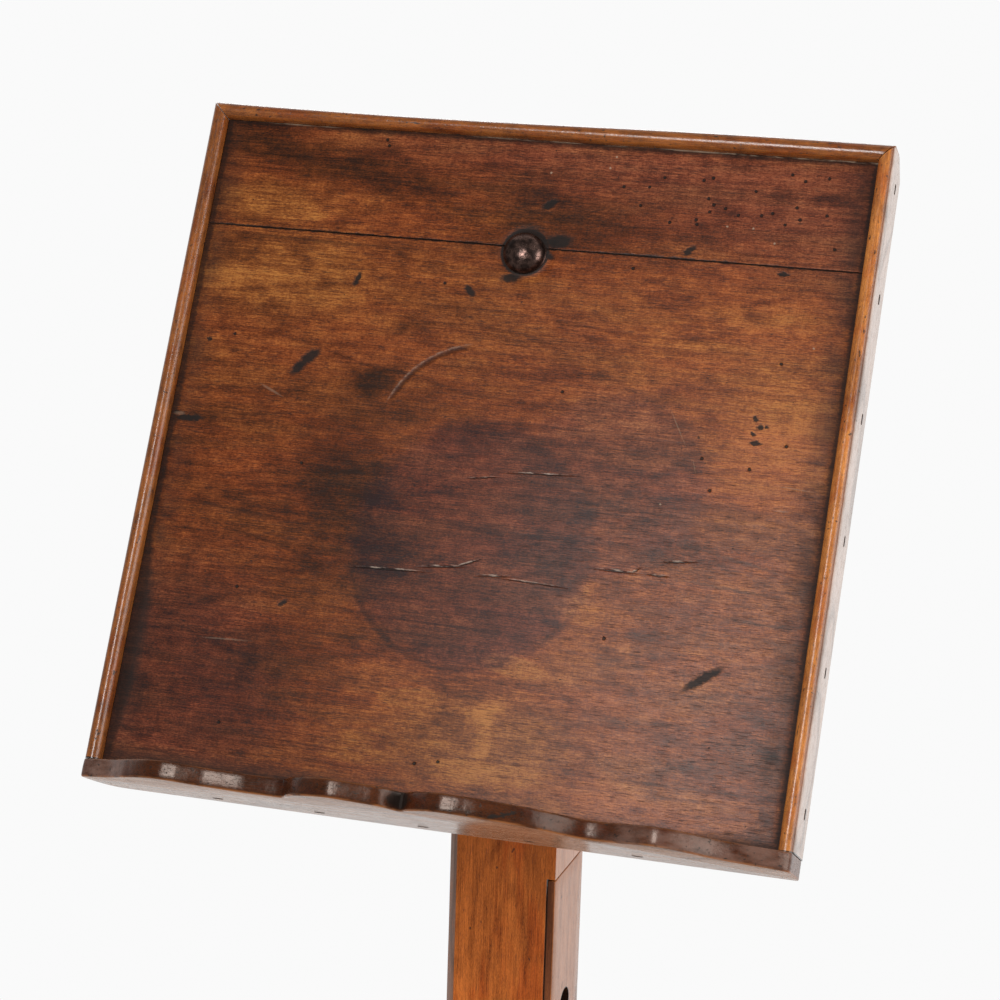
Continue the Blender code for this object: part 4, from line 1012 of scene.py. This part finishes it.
class STAND_OT_ledge(bpy.types.Operator):
    """Fit the wavy book ledge"""
    bl_idname = "stand.ledge"
    bl_label = "Book ledge"
    bl_options = {"REGISTER", "UNDO"}

    def execute(self, context):
        sizes, colours = context.scene.stand_sizes, context.scene.stand_colours
        low, high = reach("book_ledge", DESK)
        thick = high.y - low.y
        underside = (Vector((0, -1, 0)), colours.ledge_dry, 0.20)
        top = (Vector((0, 1, 0)), colours.ledge_top, 0.55)
        wood = plain_wood(
            "ledge", colours.ledge, colours.ledge_deep, GRAIN_X, 0.25, 5.0, ior=1.38, toned=(underside, top),
            edge=(colours.ledge_edge, thick * PER_MM), lumps=0.25, flecks=0.9, grain=2.0,
            stains=LEDGE_STAINS_AND_SHADOW, sheen_stretches=LEDGE_GREY_SHEEN,
        )
        warm_gloss = (1.0, 0.84, 0.74, 1.0)
        wood.node_tree.nodes["Principled BSDF"].inputs["Specular Tint"].default_value = warm_gloss
        make_piece("book_ledge_aged", self.wave(sizes, thick), wood, "book_ledge", DESK)
        return {"FINISHED"}

    def wave(self, sizes, thick):
        """The frame's own outline with eased edges and a worn front, level by level."""
        spacing = 0.002
        waves_along, waves_up = 66, 24  # per metre
        outline = soften(even_loop(outline_of("book_ledge", DESK, thick / 2), spacing), 1)
        if sum(point.cross(after) for _, point, after in neighbours(outline)) < 0:
            outline.reverse()
        corner = sizes.ledge_ease
        levels = [corner * part for part in (0.0, 0.08, 0.3, 0.6, 1.0)]
        levels += [corner + (thick - 2 * corner) * part for part in (0.2, 0.4, 0.6, 0.8)]
        levels += [thick - level for level in reversed(levels[:5])]
        rings = []
        for level in levels:
            to_edge = min(level, thick - level)
            rounding = corner - math.sqrt(max(0.0, corner ** 2 - max(0.0, corner - to_edge) ** 2))
            bulge = sizes.ledge_bulge * (2 * level / thick - 1) ** 2
            ring = []
            for before, point, after in neighbours(outline):
                along = (after - before).normalized()
                inward = Vector((-along.y, along.x))
                fronting = max(-inward.y, inward.x, 0.0)
                spot = Vector((point.x * waves_along, level * waves_up, point.y * waves_along))
                worn = sizes.ledge_wear * ripple(spot)
                place = point + inward * (rounding * max(fronting, 0.3) + (bulge + worn) * fronting)
                ring.append((place.x, level, max(place.y, 0.0)))
            rings.append(ring)
        return loft(rings)


class STAND_OT_battens(bpy.types.Operator):
    """Fix the two battens behind the board"""
    bl_idname = "stand.battens"
    bl_label = "Battens"
    bl_options = {"REGISTER", "UNDO"}

    def execute(self, context):
        sizes, colours = context.scene.stand_sizes, context.scene.stand_colours
        wood = plain_wood("batten", colours.column, colours.column_deep, GRAIN_Y, 0.42)
        for side in ("left", "right"):
            dress(
                f"batten_{side}", wood, sizes.stand_ease, (0.016, 0.012, 0), sizes.plane_marks, axes=DESK,
            )
        return {"FINISHED"}


class STAND_OT_iron(bpy.types.Operator):
    """Set the bolt, its washer and nut, and the nails"""
    bl_idname = "stand.iron"
    bl_label = "Iron work"
    bl_options = {"REGISTER", "UNDO"}

    def execute(self, context):
        sizes, colours = context.scene.stand_sizes, context.scene.stand_colours
        iron = dark_iron("forged iron")
        self.bolt(sizes, iron)
        for node in ("bolt_washer", "bolt_nut"):
            dress(node, iron, 0.0006, (0.004, 0.004, 0), sizes.hammer_marks / 2, 0.005, DESK)
        rust = plain_wood("rusty brad", colours.iron_deep, colours.grime_and_shade, GRAIN_X, 0.7)
        rust.node_tree.nodes["Principled BSDF"].inputs["Specular IOR Level"].default_value = 0.1
        for node in sorted(NODES):
            if "brad" in node:
                self.brad(node, rust)
            elif "batten_nail" in node:
                self.nail(node, iron)
        return {"FINISHED"}

    def bolt(self, sizes, iron):
        """The bolt with its forged and uneven dome."""
        seat = PLANK_HIGH.z + FIT_GAP
        head = (BOLT_HIGH.x - BOLT_LOW.x) / 2 * 1.05
        rise = BOLT_HIGH.z - seat
        shank = 0.006
        rim = 0.0012
        lump_waves, ding_waves = 190.0, 420.0  # per metre
        profile = [(0, BOLT_LOW.z), (shank, BOLT_LOW.z), (shank, seat), (head - rim / 2, seat)]
        profile += arc((0, seat + rim), (head, rise - rim), 0, 90, 22)[:-1]
        bm = turned([*profile, (0, BOLT_HIGH.z)], 56)
        bm.normal_update()
        for vert in bm.verts:
            if vert.co.z < seat + 0.1 * MM:
                continue
            lumps = ripple(vert.co * lump_waves)
            dings = max(0.0, noise.noise(vert.co * ding_waves + Vector((3, 1, 4))))
            vert.co -= vert.normal * sizes.hammer_marks * (0.4 * lumps + 0.3 * dings)
            vert.co.x -= sizes.off_centre
        bm.transform(Matrix.Translation((0, BOLT_UP, 0)))
        make_piece("desk_bolt_aged", bm, iron, "desk_bolt", DESK)

    def axis_of(self, node):
        """Head, direction inward, length and radius of a straight nail, in the desk's axes."""
        low, high = reach(node, DESK)
        middle = (low + high) / 2
        size = high - low
        axis = max(range(3), key=lambda index: size[index])
        centre = Vector((0, (PLANK_LOW.y + UPPER_HIGH.y) / 2, PLANK_HIGH.z / 2))
        inward = 1.0 if middle[axis] < centre[axis] else -1.0
        head = middle.copy()
        head[axis] -= inward * size[axis] / 2
        direction = Vector((0, 0, 0))
        direction[axis] = inward
        return head, direction, size[axis], min(size) / 2

    def brad(self, node, rust):
        """A cut brad: a flat oblong head, sunk a little, on a tapered shank."""
        head, direction, long, radius = self.axis_of(node)
        top = -0.0004
        half_long, half_wide = radius * 2.3, radius * 0.85
        sides = 16
        rings = []
        for depth, size in ((top, 0.9), (top + 0.0003, 1.0), (0.003, 0.9), (long * 0.6, 0.45), (long, 0.15)):
            ring = []
            for index in range(sides):
                angle = math.tau * (index + 0.5) / sides
                cosine, sine = math.cos(angle), math.sin(angle)
                corner = max(abs(cosine), abs(sine)) ** 0.8
                rough = 1.0 + 0.10 * noise.noise(head * 700.0 + Vector((cosine, sine, depth * 90)))
                along = half_long * cosine / corner * size * rough
                aside = half_wide * sine / corner * size * rough
                ring.append((along, aside, depth))
            rings.append(ring)
        lengthwise = Vector((0, 1, 0)) if abs(direction.x) > 0.5 else Vector((1, 0, 0))
        turn = Matrix((lengthwise, direction.cross(lengthwise), direction)).transposed().to_4x4()
        bm = loft(rings)
        bm.transform(Matrix.Translation(head) @ turn)
        make_piece(f"{node}_aged", bm, rust, node, DESK)

    def nail(self, node, iron):
        """A rose-head nail with hammered facets."""
        head, direction, long, radius = self.axis_of(node)
        thick = 0.0025
        shank = 0.002
        facets, facet_depth = 5, 0.0004
        profile = [
            (0, 0.0), (radius * 0.35, 0.0003), (radius * 0.8, thick * 0.55), (radius, thick * 0.8),
            (radius * 0.97, thick), (shank, thick), (shank, long * 0.8), (0, long),
        ]
        bm = turned(profile, 20)
        for vert in bm.verts:
            if vert.co.z < thick * 0.9:
                facet = math.cos(facets * math.atan2(vert.co.y, vert.co.x))
                outward = math.hypot(vert.co.x, vert.co.y) / radius
                vert.co.z += facet_depth * (0.5 + 0.5 * facet) * outward
        bm.transform(Matrix.Translation(head) @ direction.to_track_quat("Z", "Y").to_matrix().to_4x4())
        make_piece(f"{node}_aged", bm, iron, node, DESK)


class STAND_OT_column(bpy.types.Operator):
    """Raise the column and let in its slip"""
    bl_idname = "stand.column"
    bl_label = "Column"
    bl_options = {"REGISTER", "UNDO"}

    def execute(self, context):
        sizes, colours = context.scene.stand_sizes, context.scene.stand_colours
        # The right sides painted paler as their sheen
        right = (Vector((1, 0, 0)), colours.column_dry_sheen, 0.12)
        # The chamfer painted greyish for its reflection
        chamfer = (Vector((-1, -1, 0)).normalized(), colours.column_cut_sheen, 0.12)
        narrow = (Vector((0, -1, 0)), colours.slip_edge, 0.2)
        # Downward faces, such as the top of the slip's notch, painted dark as shade
        notch = (Vector((0, 0, -1)), colours.grime_and_shade, 0.7)
        peg_low, peg_high = reach("height_peg")
        peg_level = (peg_low.z + peg_high.z) / 2 * PER_MM
        holes = [(0.0, peg_level + PEG_HOLE_PITCH * step) for step in PEG_HOLE_STEPS]
        post_wood = plain_wood(
            "column", colours.column, colours.column_deep, GRAIN_Z, 0.16, 8.0, vary=False,
            toned=(right, chamfer, notch), start=-0.07, holes=holes,
        )
        slip_wood = plain_wood(
            "slip", colours.slip, colours.slip_deep, GRAIN_Z, 0.16, 6.0, toned=(right, narrow), holes=holes,
            joint=(0, reach("column_slip")[0].x * PER_MM),
        )
        for node, wood in (("column_post", post_wood), ("column_slip", slip_wood)):
            bm = bench_copy(node, sizes.post_ease, (0.013, 0.012, 0.012))
            plane_by_hand(bm, sizes.plane_marks, 0.035)
            if node == "column_slip":
                self.open_joint(bm, sizes.slip_gap)
            make_piece(f"{node}_aged", bm, wood, node)
        return {"FINISHED"}

    def open_joint(self, bm, gap):
        """Lower the slip's top end."""
        top = max(vert.co.z for vert in bm.verts)
        for vert in bm.verts:
            if vert.co.z > top - 3 * MM:
                vert.co.z -= gap


class STAND_OT_peg(bpy.types.Operator):
    """Turn the height peg"""
    bl_idname = "stand.peg"
    bl_label = "Height peg"
    bl_options = {"REGISTER", "UNDO"}

    def execute(self, context):
        colours = context.scene.stand_colours
        wood = plain_wood("peg", colours.peg, colours.peg_deep, GRAIN_Z, 0.20, 5.0, ior=1.4)
        low, high = reach("height_peg")
        tail, tip = low.x, high.x
        knob = (high.y - low.y) / 2
        shank = 0.0107
        ball = tip - knob
        flange = ball - knob * 0.85 - 0.0100
        profile = [
            (0, tail), (shank * 0.62, tail), (shank * 0.86, tail + 0.0012), (shank, tail + 0.004),
            (shank, flange), (0.0148, flange), (0.0158, flange + 0.0008), (0.0160, flange + 0.0022),
            (0.0154, flange + 0.0036), (0.0136, flange + 0.0044), (0.0112, flange + 0.0048),
            (0.0094, flange + 0.0060), (0.0088, flange + 0.0078), (0.0092, flange + 0.0096),
        ]
        profile += arc((0, ball), (knob, knob), -58, 74, 20)
        profile += [(knob * 0.30, tip - knob * 0.075), (knob * 0.24, tip - knob * 0.02), (0, tip)]
        axes = Matrix.Translation((0, 0, (low.z + high.z) / 2)) @ Matrix.Rotation(math.radians(90), 4, "Y")
        make_piece("height_peg_aged", turned(profile, 48), wood, "height_peg", axes)
        return {"FINISHED"}


class STAND_OT_box(bpy.types.Operator):
    """Build the box of the pedestal with its collar"""
    bl_idname = "stand.box"
    bl_label = "Box and collar"
    bl_options = {"REGISTER", "UNDO"}

    def execute(self, context):
        sizes, colours = context.scene.stand_sizes, context.scene.stand_colours
        wood = plain_wood("box board", colours.pedestal, colours.pedestal_deep, GRAIN_Z, 0.36)
        ease = sizes.stand_ease * 0.6
        cells = (0.02, 0.02, 0.02)
        for side in SIDES:
            dress(f"box_board_{side}", wood, ease, cells, sizes.plane_marks, 0.04)
        dress("box_block", wood, ease, cells)
        for sides, turn in ((SIDES[:2], GRAIN_X), (SIDES[2:], GRAIN_Y)):
            name = f"collar {sides[0]}"
            trim = plain_wood(name, colours.edging, colours.edging_deep, turn, 0.24, 4.0, ior=1.35)
            for side in sides:
                dress(f"collar_{side}", trim, 0.0004, (0.01, 0.01, 0), sizes.bead_wear, 0.02)
        return {"FINISHED"}


class STAND_OT_foot(bpy.types.Operator):
    """Lay the cross foot with its brackets, dowel and pads"""
    bl_idname = "stand.foot"
    bl_label = "Cross foot"
    bl_options = {"REGISTER", "UNDO"}

    def execute(self, context):
        sizes, colours = context.scene.stand_sizes, context.scene.stand_colours
        tones = (colours.pedestal, colours.pedestal_deep)
        ease, marks = sizes.stand_ease, sizes.plane_marks
        upright = plain_wood("bracket", *tones, GRAIN_Z, 0.36, floor_dirt=True)
        for side in SIDES:
            dress(f"bracket_{side}", upright, ease, (0.008, 0.008, 0.008), marks)
        dress("foot_dowel", upright, 0.0004, (0, 0, 0.02))
        for ends, turn in ((SIDES[:2], GRAIN_Y), (SIDES[2:], GRAIN_X)):
            wood = plain_wood(f"foot {ends[0]}", *tones, turn, 0.38, floor_dirt=True)
            beam = "foot_beam_" + "_".join(ends)
            dress(beam, wood, ease * 1.5, (0.014, 0.014, 0.014), marks * 1.5, 0.04)
            for end in ends:
                dress(f"foot_pad_{end}", wood, ease, (0.012, 0.012, 0))
        return {"FINISHED"}


# Stage

class STAND_OT_stage(bpy.types.Operator):
    """Set up the camera, the soft lamps, the white surround and the floor"""
    bl_idname = "stand.stage"
    bl_label = "Stage"

    def execute(self, context):
        stage = context.scene.stand_stage
        context.scene.view_settings.view_transform = "Standard"
        self.camera(context.scene, stage)
        middle = DESK @ Vector((0, (PLANK_LOW.y + UPPER_HIGH.y) / 2, PLANK_HIGH.z))
        self.lamp("key lamp", (-0.27, -1.99, 2.25), middle, (0.5, 0.85), stage.key_power)
        self.lamp("edge lamp", (1.54, -1.19, 2.14), middle, (0.12, 1.0), stage.edge_power)
        self.lamp("side lamp", (2.3, -0.6, 1.65), middle, (1.5, 1.5), stage.side_power)
        self.lamp("back lamp", (-0.7, 2.2, 2.1), middle, (1.0, 1.0), stage.back_power)
        self.surround(context.scene, stage)
        self.floor(stage, context.scene.stand_colours)
        return {"FINISHED"}

    def camera(self, scene, stage):
        data = bpy.data.cameras.new("camera")
        data.lens = stage.lens
        camera = bpy.data.objects.new("camera", data)
        camera.location = stage.camera_place
        camera.rotation_euler = Euler(stage.camera_turn)
        scene.collection.objects.link(camera)
        scene.camera = camera

    def lamp(self, name, place, target, size, power):
        data = bpy.data.lights.new(name, "AREA")
        data.shape = "RECTANGLE"
        data.size, data.size_y = size
        data.energy = power
        lamp = bpy.data.objects.new(name, data)
        lamp.location = place
        lamp.rotation_euler = (Vector(target) - Vector(place)).to_track_quat("-Z", "Y").to_euler()
        lamp.visible_camera = False
        bpy.context.scene.collection.objects.link(lamp)

    def surround(self, scene, stage):
        """White to the eye, a white backdrop in reflections, and a soft fill on the pieces."""
        world = bpy.data.worlds.new("white surround")
        world.use_nodes = True
        scene.world = world
        nodes, links = world.node_tree.nodes, world.node_tree.links
        light = nodes["Background"]
        light.inputs["Color"].default_value = (1, 1, 1, 1)
        direction = nodes.new("ShaderNodeSeparateXYZ")
        links.new(nodes.new("ShaderNodeTexCoord").outputs["Generated"], direction.inputs[0])
        path = nodes.new("ShaderNodeLightPath")

        def blend(amount, start, end, low, high):
            node = nodes.new("ShaderNodeMapRange")
            node.interpolation_type = "SMOOTHSTEP"
            for key, value in (("From Min", start), ("From Max", end), ("To Min", low), ("To Max", high)):
                if isinstance(value, float):
                    node.inputs[key].default_value = value
                else:
                    links.new(value, node.inputs[key])
            links.new(amount, node.inputs["Value"])
            return node.outputs[0]

        lit = blend(direction.outputs[2], 0.1, -0.2, stage.fill, stage.bounce)
        mirrored = blend(direction.outputs[1], -0.05, 0.35, stage.room, stage.white)
        strength = blend(path.outputs["Is Glossy Ray"], 0.0, 1.0, lit, mirrored)
        for ray in ("Is Camera Ray", "Is Transmission Ray"):
            strength = blend(path.outputs[ray], 0.0, 1.0, strength, stage.white)
        links.new(strength, light.inputs["Strength"])

    def floor(self, stage, colours):
        """A pale round floor that keeps the shadow and fades into the white."""
        bm = bmesh.new()
        bmesh.ops.create_circle(bm, cap_ends=True, segments=96, radius=stage.floor_radius)
        mesh = bpy.data.meshes.new("floor")
        bm.to_mesh(mesh)
        bm.free()
        finish = Finish("pale floor")
        from_centre = finish.vector("LENGTH", finish.add("ShaderNodeTexCoord", {}, "Object"))
        grain = finish.noise(finish.place(), (0.004, 0.004, 0.004), 3.0)
        shade = finish.mix(grain, [value * 0.98 for value in colours.floor], colours.floor)
        finish.done(shade, 0.8)
        clear = finish.add("ShaderNodeBsdfTransparent", {})
        fade = finish.ramp(from_centre, stage.floor_radius * 0.25, stage.floor_radius * 0.98)
        blend = finish.add("ShaderNodeMixShader", {0: fade, 1: finish.shader.outputs[0], 2: clear})
        finish.tree.links.new(blend, finish.tree.nodes["Material Output"].inputs["Surface"])
        mesh.materials.append(finish.material)
        floor = bpy.data.objects.new("floor", mesh)
        bpy.context.scene.collection.objects.link(floor)
        floor.location.z = -MM


# Panel and registration

class STAND_PT_dressing(bpy.types.Panel):
    """Steps of the dressing, in order"""
    bl_label = "Reading stand"
    bl_idname = "STAND_PT_dressing"
    bl_space_type = "VIEW_3D"
    bl_region_type = "UI"
    bl_category = "Reading stand"

    def draw(self, context):
        for operator in STEPS:
            self.layout.operator(operator.bl_idname)
        for group in (context.scene.stand_sizes, context.scene.stand_colours, context.scene.stand_stage):
            box = self.layout.box()
            for name in group.__annotations__:
                box.prop(group, name)


GROUPS = {"stand_sizes": StandSizes, "stand_colours": StandColours, "stand_stage": StandStage}
STEPS = (
    STAND_OT_planks, STAND_OT_edging, STAND_OT_ledge, STAND_OT_battens, STAND_OT_iron, STAND_OT_column,
    STAND_OT_peg, STAND_OT_box, STAND_OT_foot, STAND_OT_stage,
)


def register():
    for name, group in GROUPS.items():
        bpy.utils.register_class(group)
        setattr(bpy.types.Scene, name, PointerProperty(type=group))
    for operator in STEPS:
        bpy.utils.register_class(operator)
    bpy.utils.register_class(STAND_PT_dressing)


def unregister():
    bpy.utils.unregister_class(STAND_PT_dressing)
    for operator in reversed(STEPS):
        bpy.utils.unregister_class(operator)
    for name, group in GROUPS.items():
        delattr(bpy.types.Scene, name)
        bpy.utils.unregister_class(group)


def main():
    register()
    bpy.ops.stand.stage()
    bpy.ops.stand.planks()
    bpy.ops.stand.edging()
    bpy.ops.stand.ledge()
    bpy.ops.stand.battens()
    bpy.ops.stand.iron()
    bpy.ops.stand.column()
    bpy.ops.stand.peg()
    bpy.ops.stand.box()
    bpy.ops.stand.foot()


if __name__ == "__main__":
    main()
